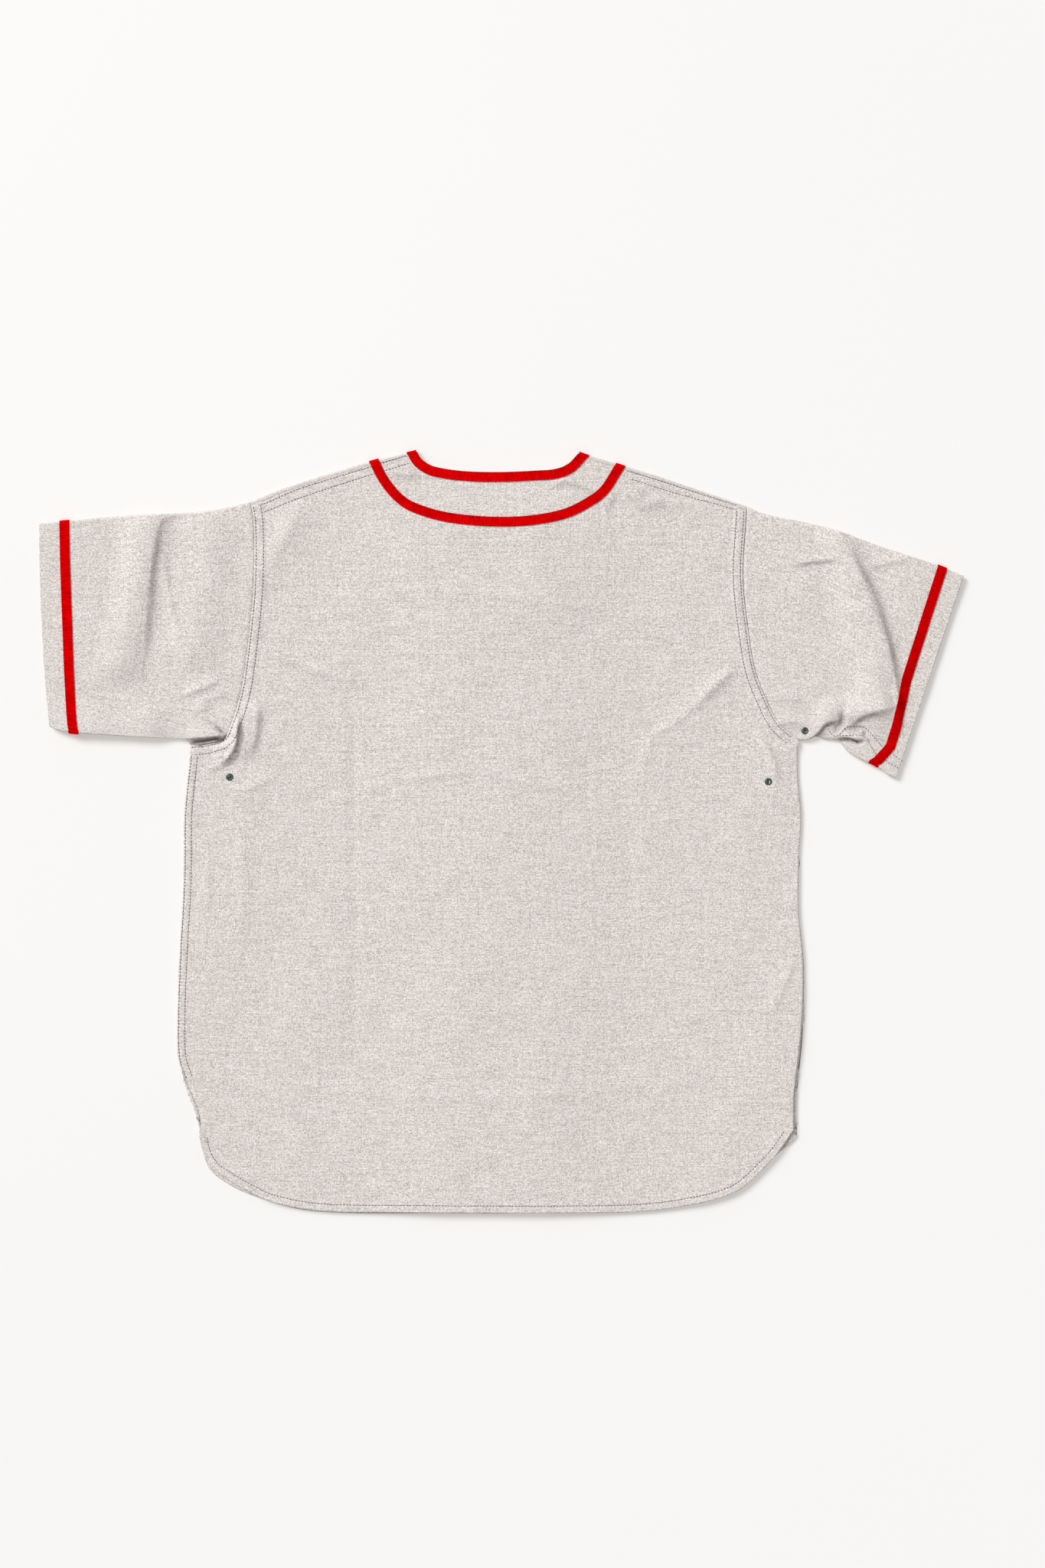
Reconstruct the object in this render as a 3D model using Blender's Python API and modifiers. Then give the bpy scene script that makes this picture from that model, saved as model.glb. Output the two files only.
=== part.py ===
# Button-front baseball jersey in wool flannel, laid out flat with its back upwards.
# Seen from above, the wearer's left is at -X, the neck is at +Y and the floor is at z = 0.
import math

import bmesh
import bpy
from mathutils import Vector
from mathutils.bvhtree import BVHTree

# Every length below is in millimetres, and becomes metres where a mesh is made
MM = 0.001

# Driving sizes
CLOTH = 1.2                 # wall of the wool flannel
LAID_HEIGHT = 4.2           # two layers of flannel with the air between them
ROLL = LAID_HEIGHT / 2      # how far the cloth takes to turn over at a folded edge
SEAM_GAP = 0.4              # space between two pieces at a seam
LIE_GAP = 0.3               # space between a braid, eyelet or button and its cloth
BRAID_WIDTH = 9.4
BRAID_THICK = 0.9
PLACKET_X = -6.0            # centre line of the button front
PLACKET_HALF = 15.0
BUTTON_RADIUS = 9.0
BUTTON_FACE = 8.4           # radius of the button's outer face
BUTTON_THICK = 2.2
BUTTON_COUNT = 6
BUTTON_FIRST_Y = 246.0
BUTTON_PITCH = 102.0
SHOULDER_SEAM_IN = 4.5      # the fronts come this far over the shoulder fold
SHELL_CENTRE = (-1.85, 0.15)  # middle of the laid garment in the plan tables

# How the layers rise over what lies under them
TRIM_LIFT = LIE_GAP + BRAID_THICK + 0.1
NECK_TRIM = (-6.0, 365.0, 142.0, 155.0)  # middle x, y and half sizes of an oval round the braids
NECK_TRIM_FADE = 1.3        # the rise has faded out where the oval is this many times as large
CUFF_TRIM = (42.0, 75.0)    # the rise begins to fade, and has faded, this far from a cuff
BUTTON_LIFT = BUTTON_THICK + LIE_GAP + 0.1
PLACKET_TOP = (285.0, 330.0)  # over the neck, the rise over the placket fades between these y
PLACKET_REACH = (160.0, 215.0)  # the rise is wider above these y, where the buttons end
CROWN = 3.4                 # the back lies this much higher over the placket
CROWN_REACH = (30.0, 140.0)
FOLD_CLEARANCE = 0.2        # added to a braid's lift where it goes round a fold's corners

# Faces above this height, in metres, belong to the upper layer
UPPER_LAYER = 0.75 * LAID_HEIGHT * MM

# Places and counts of cells
NECK_SHARE = 0.24           # share of a front's inner edge that its neck takes
PLACKET_COLUMNS = (57.0, 31.5)  # distances from a front's edge to the columns beside the placket
ARMHOLE_ROWS = 12
SIDE_ROWS = 11
SHOULDER_COLUMNS = 6
NECK_COLUMNS = 9
FRONT_COLUMNS = 7
SLEEVE_STATIONS = 9

# Plan tables. Columns: x, y. Each runs from its first named end to its second.
SHOULDER_LEFT = [  # sleeve to neck, along the shoulder fold
    (-246.6, 321.5), (-214.0, 334.5), (-169.5, 348.8), (-125.0, 361.5), (-84.6, 370.6)]
SHOULDER_RIGHT = [  # sleeve to neck
    (236.5, 317.0), (203.0, 328.5), (158.3, 343.6), (113.6, 357.2), (74.1, 369.0)]
NECK_BACK = [  # left shoulder to right shoulder, along the edge of the back neck
    (-84.6, 370.6), (-80.0, 362.5), (-71.0, 356.5), (-60.0, 353.5), (-37.6, 350.6), (-4.0, 349.8),
    (29.4, 351.2), (51.8, 353.0), (63.0, 358.5), (74.1, 369.0)]
NECK_FRONT_LEFT = [  # shoulder to placket edge, under the back
    (-84.6, 370.6), (-84.0, 340.0), (-74.0, 307.0), (-50.0, 282.0), (-18.0, 271.0), (9.0, 270.0)]
NECK_FRONT_RIGHT = [  # shoulder to placket edge
    (74.1, 369.0), (72.0, 340.0), (62.0, 307.0), (38.0, 282.0), (6.0, 271.0), (-21.0, 270.0)]
ARMHOLE_LEFT = [  # shoulder to underarm, where the seam tucks back below the sleeve
    (-246.6, 321.5), (-243.6, 305.8), (-242.9, 246.2), (-248.1, 188.1), (-255.2, 138.2),
    (-262.5, 112.0), (-271.6, 91.6), (-284.2, 86.8), (-294.6, 84.9), (-304.3, 84.2)]
ARMHOLE_RIGHT = [  # shoulder to underarm
    (236.5, 317.0), (236.0, 305.8), (233.0, 247.7), (237.9, 198.5), (244.7, 158.0),
    (256.3, 127.6), (267.8, 106.0), (287.2, 89.0)]
SIDE_LEFT = [  # underarm to the corner of the tail
    (-304.3, 84.2), (-307.7, 53.3), (-311.0, 19.7), (-312.0, -50.0), (-315.5, -114.4),
    (-317.7, -174.0), (-317.0, -218.7), (-312.9, -233.6), (-303.2, -257.4), (-297.0, -275.0),
    (-296.1, -291.7)]
SIDE_RIGHT = [  # underarm to the corner of the tail
    (287.2, 89.0), (286.6, 60.0), (290.0, 16.0), (287.9, -27.2), (287.6, -80.0),
    (291.7, -125.5), (290.2, -188.9), (285.0, -236.5), (282.7, -258.0), (282.7, -289.4)]
HEM_BACK = [  # left corner to right corner
    (-296.1, -291.7), (-292.5, -311.0), (-283.5, -326.7), (-265.6, -339.5), (-244.7, -351.3),
    (-226.9, -359.5), (-198.5, -366.2), (-170.0, -369.4), (-70.0, -370.2), (46.6, -370.6),
    (140.0, -369.0), (185.0, -362.4), (212.0, -355.7), (230.6, -347.5), (264.0, -315.5), (282.7, -289.4)]
HEM_FRONT_LEFT = [  # left corner to placket edge; this tail hangs a little past the back's
    (-296.1, -291.7), (-292.5, -313.0), (-286.0, -329.0), (-270.0, -342.0), (-244.7, -354.0),
    (-200.0, -367.4), (-150.0, -371.4), (-60.0, -371.5), (9.0, -371.0)]
HEM_FRONT_RIGHT = [  # right corner to placket edge
    (282.7, -289.4), (285.6, -295.0), (264.0, -316.5), (230.0, -348.0), (212.0, -356.0),
    (185.0, -362.7), (150.0, -368.0), (77.0, -370.0), (0.0, -371.3), (-21.0, -371.3)]
SLEEVE_LEFT_TOP = [  # armhole to cuff, along the fold
    (-246.6, 321.5), (-273.8, 314.8), (-303.6, 311.0), (-363.2, 308.1), (-422.8, 302.8), (-451.8, 299.9)]
SLEEVE_LEFT_CUFF = [  # top fold to lower fold
    (-451.8, 299.9), (-451.1, 258.1), (-449.6, 213.4), (-446.2, 153.8), (-441.4, 102.4)]
SLEEVE_LEFT_LOW = [  # armhole to cuff, along the lower fold
    (-304.3, 84.2), (-309.5, 89.4), (-340.0, 91.3), (-378.1, 93.5), (-421.3, 96.5), (-435.5, 99.5),
    (-441.4, 102.4)]
SLEEVE_RIGHT_TOP = [  # armhole to cuff
    (236.5, 317.0), (252.2, 310.3), (290.2, 302.1), (328.2, 292.4), (360.2, 280.5), (422.0, 259.6),
    (448.1, 249.2)]
SLEEVE_RIGHT_CUFF = [  # top fold to lower fold
    (448.1, 249.2), (415.0, 150.9), (381.8, 52.5)]
SLEEVE_RIGHT_LOW = [  # armhole to cuff, along the crumpled lower edge
    (287.2, 89.0), (297.6, 89.5), (304.0, 92.6), (313.3, 90.2), (326.7, 88.0), (334.1, 79.3),
    (349.0, 69.9), (360.2, 65.8), (376.0, 54.5), (381.8, 52.5)]

# Middle line of each neck braid. Columns: x, y. From one shoulder fold to the other over the
# back, and from each shoulder fold to the placket under the front.
INNER_BACK = [
    (-89.3, 369.7), (-83.5, 360.0), (-72.5, 352.3), (-60.0, 348.9), (-37.6, 346.0), (-6.0, 345.1),
    (29.4, 346.5), (51.8, 348.4), (65.5, 353.9), (78.6, 367.4)]
INNER_FRONT_LEFT = [
    (-89.3, 369.7), (-88.8, 339.0), (-78.2, 304.5), (-52.6, 277.8), (-19.0, 266.2), (8.0, 265.2)]
INNER_FRONT_RIGHT = [
    (78.6, 367.4), (76.8, 339.0), (66.0, 303.5), (40.0, 275.6), (20.0, 267.0), (12.5, 265.2)]
OUTER_BACK = [
    (-126.0, 361.3), (-118.0, 345.0), (-106.9, 330.0), (-95.7, 320.0), (-84.6, 314.4), (-62.2, 307.3),
    (-39.9, 303.6), (-6.3, 301.4), (27.2, 302.8), (60.7, 309.6), (83.1, 320.7), (97.5, 331.5),
    (114.0, 356.8)]
OUTER_FRONT_LEFT = [
    (-126.0, 361.3), (-128.5, 332.0), (-114.0, 282.0), (-74.0, 242.0), (-30.0, 225.0), (8.0, 223.0)]
OUTER_FRONT_RIGHT = [
    (114.0, 356.8), (116.5, 332.0), (102.0, 282.0), (62.0, 242.0), (28.0, 228.0), (11.5, 224.5)]

# Distance from the cuff to the middle of the sleeve braid, all round the sleeve.
# Columns: share of the way down, distance.
BRAID_LEFT_IN = [(0.0, 24.8), (0.5, 25.4), (1.0, 24.4)]
BRAID_RIGHT_IN = [(0.0, 22.5), (0.55, 20.6), (0.78, 15.2), (0.87, 14.6), (1.0, 24.0)]

# Largest folds of the upper layer. Columns: start x, start y, end x, end y, half width, height.
FOLDS = [
    (-345.0, 300.0, -372.0, 165.0, 30.0, 4.5),
    (-285.0, 290.0, -300.0, 180.0, 34.0, 3.0),
    (-198.0, 309.0, -229.0, 253.0, 26.0, 2.4),
    (-244.0, 118.0, -254.0, 82.0, 18.0, 2.5),
    (223.0, 157.0, 140.0, 60.0, 24.0, 3.0),
    (330.0, 285.0, 352.0, 215.0, 26.0, 5.0),
    (352.0, 215.0, 376.0, 110.0, 26.0, 7.0),
    (316.0, 117.0, 352.0, 118.0, 18.0, 4.0)]

# Vent eyelets of the upper layer. Columns: name, x, y.
EYELETS = [
    ("eyelet_body_left", -266.3, 53.3),
    ("eyelet_body_right", 257.8, 48.8),
    ("eyelet_sleeve_right", 293.5, 98.5)]
EYELET_GAP = LIE_GAP + 0.1  # space between the cloth and the rim or the washer
CLOTH_HOLE = 2.6            # radius of the hole that the barrel goes through
CLOTH_HOLE_DEPTH = 6.0
WASHER_DROP = CLOTH + 2 * EYELET_GAP  # from the rim's lower face to the washer's upper face
# Outline of an eyelet, from the mouth of the hole outwards and down the barrel to the washer.
# Columns: radius, height over the lower face of the rim.
EYELET_PROFILE = [
    (1.6, 0.35), (2.1, 0.7), (3.15, 0.7), (3.65, 0.2), (3.35, 0.0), (2.1, 0.0),
    (2.1, -WASHER_DROP), (3.3, -WASHER_DROP), (3.3, -WASHER_DROP - 0.5), (1.6, -WASHER_DROP - 0.5)]


# Plan curves

class Curve:
    """A smooth line through plan points, read by its share of length from 0 to 1."""

    def __init__(self, points, steps=16):
        knots = [Vector(p) for p in points]
        ends = [2 * knots[0] - knots[1]] + knots + [2 * knots[-1] - knots[-2]]
        self.points = [knots[0]]
        for a, b, c, d in zip(ends, ends[1:], ends[2:], ends[3:]):
            for k in range(1, steps + 1):
                self.points.append(catmull(a, b, c, d, k / steps))
        self.lengths = [0.0]
        for p, q in zip(self.points, self.points[1:]):
            self.lengths.append(self.lengths[-1] + (q - p).length)
        self.length = self.lengths[-1]

    def at(self, share):
        target = min(max(share, 0.0), 1.0) * self.length
        low, high = 0, len(self.lengths) - 1
        while high - low > 1:
            middle = (low + high) // 2
            if self.lengths[middle] <= target:
                low = middle
            else:
                high = middle
        run = self.lengths[high] - self.lengths[low]
        return self.points[low].lerp(self.points[high], (target - self.lengths[low]) / run)

    def tangent(self, share):
        step = 0.002
        return (self.at(min(share + step, 1.0)) - self.at(max(share - step, 0.0))).normalized()

    def moved(self, distance):
        """The same line moved sideways, to the left of its direction if distance is positive."""
        twin = Curve.__new__(Curve)
        twin.points = []
        for k, point in enumerate(self.points):
            ahead = self.points[min(k + 1, len(self.points) - 1)]
            behind = self.points[max(k - 1, 0)]
            along = (ahead - behind).normalized()
            twin.points.append(point + distance * Vector((-along.y, along.x)))
        twin.lengths = self.lengths
        twin.length = self.length
        return twin


def catmull(a, b, c, d, t):
    """A point between b and c on the spline whose knots are spaced by the root of their distance."""
    t1 = max((b - a).length ** 0.5, 1e-6)
    t2 = t1 + (c - b).length ** 0.5
    t3 = t2 + max((d - c).length ** 0.5, 1e-6)
    s = t1 + (t2 - t1) * t
    p1 = a.lerp(b, s / t1)
    p2 = b.lerp(c, (s - t1) / (t2 - t1))
    p3 = c.lerp(d, (s - t2) / (t3 - t2))
    q1 = p1.lerp(p2, s / t2)
    q2 = p2.lerp(p3, (s - t1) / (t3 - t1))
    return q1.lerp(q2, (s - t1) / (t2 - t1))


def chain(*parts):
    """Joins (curve, share) parts end to end: the shares say how much of 0 to 1 each one takes."""
    def at(t):
        start = 0.0
        for curve, share in parts:
            if t <= start + share or (curve, share) == parts[-1]:
                return curve.at((t - start) / share)
            start += share
    return at


class Patch:
    """The plan of a panel: u runs from one side edge to the other and v from top to bottom."""

    def __init__(self, side_a, side_b, top, bottom):
        self.side_a, self.side_b = side_a, side_b
        self.top, self.bottom = top, bottom

    def at(self, u, v):
        a, b = self.side_a(v), self.side_b(v)
        top_bow = self.top(u) - self.top(0).lerp(self.top(1), u)
        bottom_bow = self.bottom(u) - self.bottom(0).lerp(self.bottom(1), u)
        return a.lerp(b, u) + (1 - v) * top_bow + v * bottom_bow

    def width(self, v):
        return (self.side_b(v) - self.side_a(v)).length

    def height(self, u):
        return (self.bottom(u) - self.top(u)).length


# Heights over the floor

def ramp(value, start, end):
    """0 at start, 1 at end, soft at both."""
    t = min(max((value - start) / (end - start), 0.0), 1.0)
    return t * t * (3 - 2 * t)


def fold_height(x, y):
    total = 0.0
    point = Vector((x, y))
    for x0, y0, x1, y1, half, height in FOLDS:
        start, end = Vector((x0, y0)), Vector((x1, y1))
        run = end - start
        share = min(max((point - start).dot(run) / run.length_squared, 0.0), 1.0)
        away = (point - (start + share * run)).length / half
        if away < 1:
            total = max(total, height * (0.5 + 0.5 * math.cos(math.pi * away)))
    return total


def from_cuff(cuff, x, y):
    """Distance from the straight line between the two ends of a cuff."""
    first, last = Vector(cuff[0]), Vector(cuff[-1])
    along = (last - first).normalized()
    offset = Vector((x, y)) - first
    return abs(along.x * offset.y - along.y * offset.x)


def trim_lift(x, y):
    """The cloth is this much higher where the neck braids and the sleeve braids lie under it."""
    middle_x, middle_y, half_x, half_y = NECK_TRIM
    from_neck = math.hypot((x - middle_x) / half_x, (y - middle_y) / half_y)
    neck = 1 - ramp(from_neck, 1.0, NECK_TRIM_FADE)
    left_cuff = 1 - ramp(from_cuff(SLEEVE_LEFT_CUFF, x, y), *CUFF_TRIM)
    right_cuff = 1 - ramp(from_cuff(SLEEVE_RIGHT_CUFF, x, y), *CUFF_TRIM)
    return TRIM_LIFT * max(neck, left_cuff, right_cuff)


def floor_side(x, y):
    """Height of the lower face of the lower layer."""
    reach = 62 + 70 * ramp(y, *PLACKET_REACH)
    over_buttons = BUTTON_LIFT * (1 - ramp(abs(x - PLACKET_X), 22, reach))
    return max(trim_lift(x, y), over_buttons * (1 - ramp(y, *PLACKET_TOP)))


def floor_side_right(x, y):
    """The right front laps over the left one along the placket."""
    reach = 50 + 60 * ramp(y, *PLACKET_REACH)
    lap = (CLOTH + SEAM_GAP) * (1 - ramp(x - PLACKET_X - PLACKET_HALF, 10, reach))
    return floor_side(x, y) + lap * (1 - ramp(y, *PLACKET_TOP))


def upper_side(x, y):
    """Height of the upper face of the upper layer."""
    crown = CROWN * (1 - ramp(abs(x - PLACKET_X), *CROWN_REACH)) * (1 - ramp(y, *PLACKET_TOP))
    return LAID_HEIGHT + trim_lift(x, y) + crown + fold_height(x, y)


def on_shell(plan, turn, lower=floor_side, lift=0.0, inward=None):
    """A point of the garment's outside: turn is 90 on the upper layer, -90 under it and between
    them round a folded edge. A lift moves it out of the cloth."""
    x, y = plan
    low, high = lower(x, y), upper_side(x, y)
    angle = math.radians(turn)
    z = (low + high) / 2 + ((high - low) / 2 + lift) * math.sin(angle)
    if inward is not None:
        x -= inward.x * lift * math.cos(angle)
        y -= inward.y * lift * math.cos(angle)
    return Vector((x, y, z))


def roll_in(turn):
    """How far in from a folded edge the cloth is when it has turned this much."""
    return ROLL * (1 - math.cos(math.radians(turn)))


# Meshes

def plan_to_world(point):
    return Vector(((point.x - SHELL_CENTRE[0]) * MM, (point.y - SHELL_CENTRE[1]) * MM, point.z * MM))


def sheet_mesh(name, rows, closed=False):
    """A surface through rows of points; a closed one is joined along its first and last row."""
    across, along = len(rows[0]) - 1, len(rows) - 1
    bm = bmesh.new()
    bmesh.ops.create_grid(bm, x_segments=across, y_segments=along, size=0.5)
    for vertex in bm.verts:
        i = round((vertex.co.x + 0.5) * across)
        j = round((vertex.co.y + 0.5) * along)
        vertex.co = plan_to_world(rows[j][i])
    if closed:
        bmesh.ops.remove_doubles(bm, verts=bm.verts, dist=1e-7)
    # A panel's triangles are fixed here, so that a braid laid on them meets the same faces
    bmesh.ops.triangulate(bm, faces=bm.faces[:])
    return finish_mesh(bm, name)


def finish_mesh(bm, name):
    mesh = bpy.data.meshes.new(name)
    bm.to_mesh(mesh)
    bm.free()
    return mesh


def facing(mesh, upwards, above=-1.0):
    """Turns the surface so that its faces above a height look up, or down."""
    total = sum(face.normal.z * face.area for face in mesh.polygons if face.center.z > above)
    if (total > 0) != upwards:
        mesh.flip_normals()


def material(name, colour, roughness, metallic=0.0):
    made = bpy.data.materials.new(name)
    made.use_nodes = True
    shader = made.node_tree.nodes["Principled BSDF"]
    shader.inputs["Base Color"].default_value = (*colour, 1.0)
    shader.inputs["Roughness"].default_value = roughness
    shader.inputs["Metallic"].default_value = metallic
    return made


def add_object(mesh, finish):
    made = bpy.data.objects.new(mesh.name, mesh)
    mesh.materials.append(finish)
    parts.objects.link(made)
    return made


def give_wall(piece, thickness, outwards=False):
    wall = piece.modifiers.new("wall", "SOLIDIFY")
    wall.thickness = thickness * MM
    wall.offset = 1.0 if outwards else -1.0


def cut_round(piece, name, x, y):
    """Cuts a round hole for an eyelet through a layer of cloth."""
    bpy.ops.mesh.primitive_cylinder_add(
        vertices=16, radius=CLOTH_HOLE * MM, depth=CLOTH_HOLE_DEPTH * MM,
        location=plan_to_world(Vector((x, y, upper_side(x, y)))))
    cutter = bpy.context.object
    cutter.name = name
    for owner in list(cutter.users_collection):
        owner.objects.unlink(cutter)
    cutters.objects.link(cutter)
    cutter.hide_render = True
    cutter.display_type = "WIRE"
    cut = piece.modifiers.new(name, "BOOLEAN")
    cut.operation = "DIFFERENCE"
    cut.object = cutter


# Panels of the body

# Turns of the cloth from a side seam to its layer, and over the whole of a shoulder or sleeve fold
SIDE_TURNS = [11, 18, 52, 90]
FOLD_TURNS = [90, 45, 0, -45, -90]

armhole_left = Curve(ARMHOLE_LEFT)
armhole_right = Curve(ARMHOLE_RIGHT)
side_left = Curve(SIDE_LEFT)
side_right = Curve(SIDE_RIGHT)
ARMHOLE_SHARE = armhole_left.length / (armhole_left.length + side_left.length)
ROLL_IN_SHARE = 0.012       # share of the side in which its fold begins, below the underarm


def body_rows():
    """Shares down a body panel: along the armhole, just below it and down the side."""
    rows = [ARMHOLE_SHARE * k / ARMHOLE_ROWS for k in range(ARMHOLE_ROWS + 1)]
    rows.append(ARMHOLE_SHARE + ROLL_IN_SHARE)
    rows += [ARMHOLE_SHARE + (1 - ARMHOLE_SHARE) * (k + 0.35) / SIDE_ROWS for k in range(1, SIDE_ROWS)]
    rows.append(1.0)
    return rows


def side_roll(v):
    """0 along the armhole, where each layer goes on into the sleeve, and 1 down the folded side."""
    return ramp(v, ARMHOLE_SHARE, ARMHOLE_SHARE + ROLL_IN_SHARE)


def side_edge(left):
    """The armhole and the side as one edge of a body panel, half a seam gap inside the seam."""
    if left:
        return chain((armhole_left.moved(SEAM_GAP / 2), ARMHOLE_SHARE), (side_left, 1 - ARMHOLE_SHARE))
    return chain((armhole_right.moved(-SEAM_GAP / 2), ARMHOLE_SHARE), (side_right, 1 - ARMHOLE_SHARE))


def front_patch(left):
    """The plan of a front: u runs from the side to the placket."""
    neck = Curve(NECK_FRONT_LEFT if left else NECK_FRONT_RIGHT)
    shoulder = Curve(SHOULDER_LEFT if left else SHOULDER_RIGHT)
    hem = Curve(HEM_FRONT_LEFT if left else HEM_FRONT_RIGHT)
    placket = Curve([neck.points[-1], hem.points[-1]])
    inner_edge = chain((neck, NECK_SHARE), (placket, 1 - NECK_SHARE))
    return Patch(side_edge(left), inner_edge, shoulder.at, hem.at)


def front_columns(patch, v):
    """Shares across a front, with the turn of the cloth at the side fold."""
    width = patch.width(v)
    outer_column, inner_column = PLACKET_COLUMNS
    first, last = ROLL / width, 1 - outer_column / width
    columns = [(roll_in(turn) / width, turn) for turn in SIDE_TURNS]
    columns += [(first + (last - first) * k / FRONT_COLUMNS, 90) for k in range(1, FRONT_COLUMNS + 1)]
    columns += [(1 - inner_column / width, 90), (1.0, 90)]
    return columns


def front_points(patch, lower):
    """Rows of a front, from its edge on top of the shoulder, round the fold and down underneath."""
    rows = []
    seam_in = SHOULDER_SEAM_IN - SEAM_GAP / 2
    folded = [(seam_in, 90)] + [(roll_in(turn), turn) for turn in FOLD_TURNS]
    for inset, turn in folded:
        rows.append([on_shell(patch.at(u, inset / patch.height(u)), turn, lower)
                     for u, _ in front_columns(patch, 0.0)])
    for v in body_rows()[1:]:
        row = []
        for u, turn in front_columns(patch, v):
            plan = patch.at(u, v)
            row.append(on_shell(plan, -90 + side_roll(v) * (90 - turn), lower))
        rows.append(row)
    return rows


def back_patch():
    """The plan of the back, from its shoulder seams and neck to its hem."""
    seam_in = SHOULDER_SEAM_IN + SEAM_GAP / 2
    neck = Curve(NECK_BACK)
    trim = seam_in / neck.length
    cells = 2 * SHOULDER_COLUMNS + NECK_COLUMNS
    start = ARMHOLE_SHARE * seam_in / armhole_left.length
    left, right = side_edge(True), side_edge(False)

    def top(u):
        place = u * cells
        if place <= SHOULDER_COLUMNS:
            share = place / SHOULDER_COLUMNS
            return patch_left.at(share, seam_in / patch_left.height(share))
        if place >= cells - SHOULDER_COLUMNS:
            share = (cells - place) / SHOULDER_COLUMNS
            return patch_right.at(share, seam_in / patch_right.height(share))
        return neck.at(trim + (1 - 2 * trim) * (place - SHOULDER_COLUMNS) / NECK_COLUMNS)

    def below(edge):
        return lambda v: edge(start + v * (1 - start))

    patch = Patch(below(left), below(right), top, Curve(HEM_BACK).at)
    rows = [0.0] + [(v - start) / (1 - start) for v in body_rows()[1:]]
    return patch, rows, start


def back_points():
    patch, shares, start = back_patch()
    cells = 2 * SHOULDER_COLUMNS + NECK_COLUMNS
    rows = []
    for v in shares:
        width = patch.width(v)
        rolled = [(roll_in(turn) / width, turn) for turn in SIDE_TURNS]
        columns = rolled + [(k / cells, 90) for k in range(1, cells)]
        columns += [(1 - u, turn) for u, turn in reversed(rolled)]
        row = []
        for u, turn in columns:
            plan = patch.at(u, v)
            roll = side_roll(start + v * (1 - start))
            row.append(on_shell(plan, 90 - roll * (90 - turn)))
        rows.append(row)
    return rows


# Sleeves, each one flattened tube

def sleeve_patch(left):
    """The plan of a sleeve: u runs from the armhole to the cuff."""
    if left:
        armhole = armhole_left.moved(-SEAM_GAP / 2)
        edges = (SLEEVE_LEFT_CUFF, SLEEVE_LEFT_TOP, SLEEVE_LEFT_LOW)
    else:
        armhole = armhole_right.moved(SEAM_GAP / 2)
        edges = (SLEEVE_RIGHT_CUFF, SLEEVE_RIGHT_TOP, SLEEVE_RIGHT_LOW)
    cuff, top, low = [Curve(points) for points in edges]
    return Patch(armhole.at, cuff.at, top.at, low.at)


def tube_ring():
    """One turn round a sleeve. Columns: which fold (0 top, 1 lower, None between), share down, turn."""
    between = [k / ARMHOLE_ROWS for k in range(1, ARMHOLE_ROWS)]
    ring = [(0, 0.0, turn) for turn in (0, 45, 90)]
    ring += [(None, v, 90) for v in between]
    ring += [(1, 1.0, turn) for turn in FOLD_TURNS]
    ring += [(None, v, -90) for v in reversed(between)]
    ring += [(0, 0.0, turn) for turn in (-90, -45, 0)]
    return ring


def tube_point(patch, u, place, lift=0.0):
    """A point of a sleeve's outside, at a share u along it and a place on its ring."""
    fold, v, turn = place
    if fold is None:
        return on_shell(patch.at(u, v), turn, lift=lift)
    share = roll_in(turn) / patch.height(u)
    edge = patch.at(u, fold)
    inward = (patch.at(u, abs(fold - 0.02)) - edge).normalized()
    return on_shell(patch.at(u, abs(fold - share)), turn, lift=lift, inward=inward)


def sleeve_points(patch, distances):
    """Lines along a sleeve, one for each place on its ring, with a station at each side and at the
    middle of its braid. Returns them, and the braid's own stations moved out of the cloth."""
    tube, band = [], []
    for place in tube_ring():
        v = place[1]
        width = patch.width(v)
        middle = 1 - read_table(distances, v) / width
        half = BRAID_WIDTH / 2 / width
        under_braid = [middle - half, middle, middle + half]
        stations = [under_braid[0] * k / SLEEVE_STATIONS for k in range(SLEEVE_STATIONS)]
        tube.append([tube_point(patch, u, place) for u in stations + under_braid + [1.0]])
        band.append([tube_point(patch, u, place, LIE_GAP) for u in under_braid])
    return tube, band


def read_table(table, share):
    for (a, low), (b, high) in zip(table, table[1:]):
        if share <= b:
            return low + (high - low) * (share - a) / (b - a)
    return table[-1][1]


# Braids round the neck, over the back, round each shoulder fold and on under the fronts

class Facets:
    """The faces of panels that are already made, to lay a braid on."""

    def __init__(self, meshes):
        points, faces = [], []
        for mesh in meshes:
            faces += [[len(points) + k for k in face.vertices] for face in mesh.polygons]
            points += [vertex.co for vertex in mesh.vertices]
        self.tree = BVHTree.FromPolygons(points, faces)

    def height(self, point, from_above):
        """The height of the first face met by looking down, or up, at a place in the plan. Just
        past the panel's edge, it is the height of the edge."""
        start = plan_to_world(Vector((point.x, point.y, 60.0 if from_above else -20.0)))
        hit = self.tree.ray_cast(start, Vector((0, 0, -1 if from_above else 1)))[0]
        if hit is None:
            hit = self.tree.find_nearest(plan_to_world(point))[0]
        return hit.z / MM


def fold_direction(shoulder, place):
    """The direction of the shoulder fold where a braid crosses it, towards the right."""
    share = min(range(101), key=lambda k: (shoulder.at(k / 100) - place).length) / 100
    along = shoulder.tangent(share)
    return along if along.x > 0 else -along


def braid_run(points, count, folds):
    """Sections of a braid over one layer, as its middle and the way to its left edge. They are
    square to its line, but for those near a shoulder fold, which turn to lie along the fold."""
    curve = Curve(points)
    near = 2 * BRAID_WIDTH / curve.length
    run = []
    for k in range(count + 1):
        share = k / count
        along = curve.tangent(share)
        half = Vector((-along.y, along.x)) * BRAID_WIDTH / 2
        for fold, away in zip(folds, (share, 1 - share)):
            if fold is not None and away < near:
                lean = half.dot(fold) / half.length
                half = half.lerp(fold * BRAID_WIDTH / 2 / lean, 1 - away / near)
        run.append((curve.at(share), half))
    return run


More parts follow.
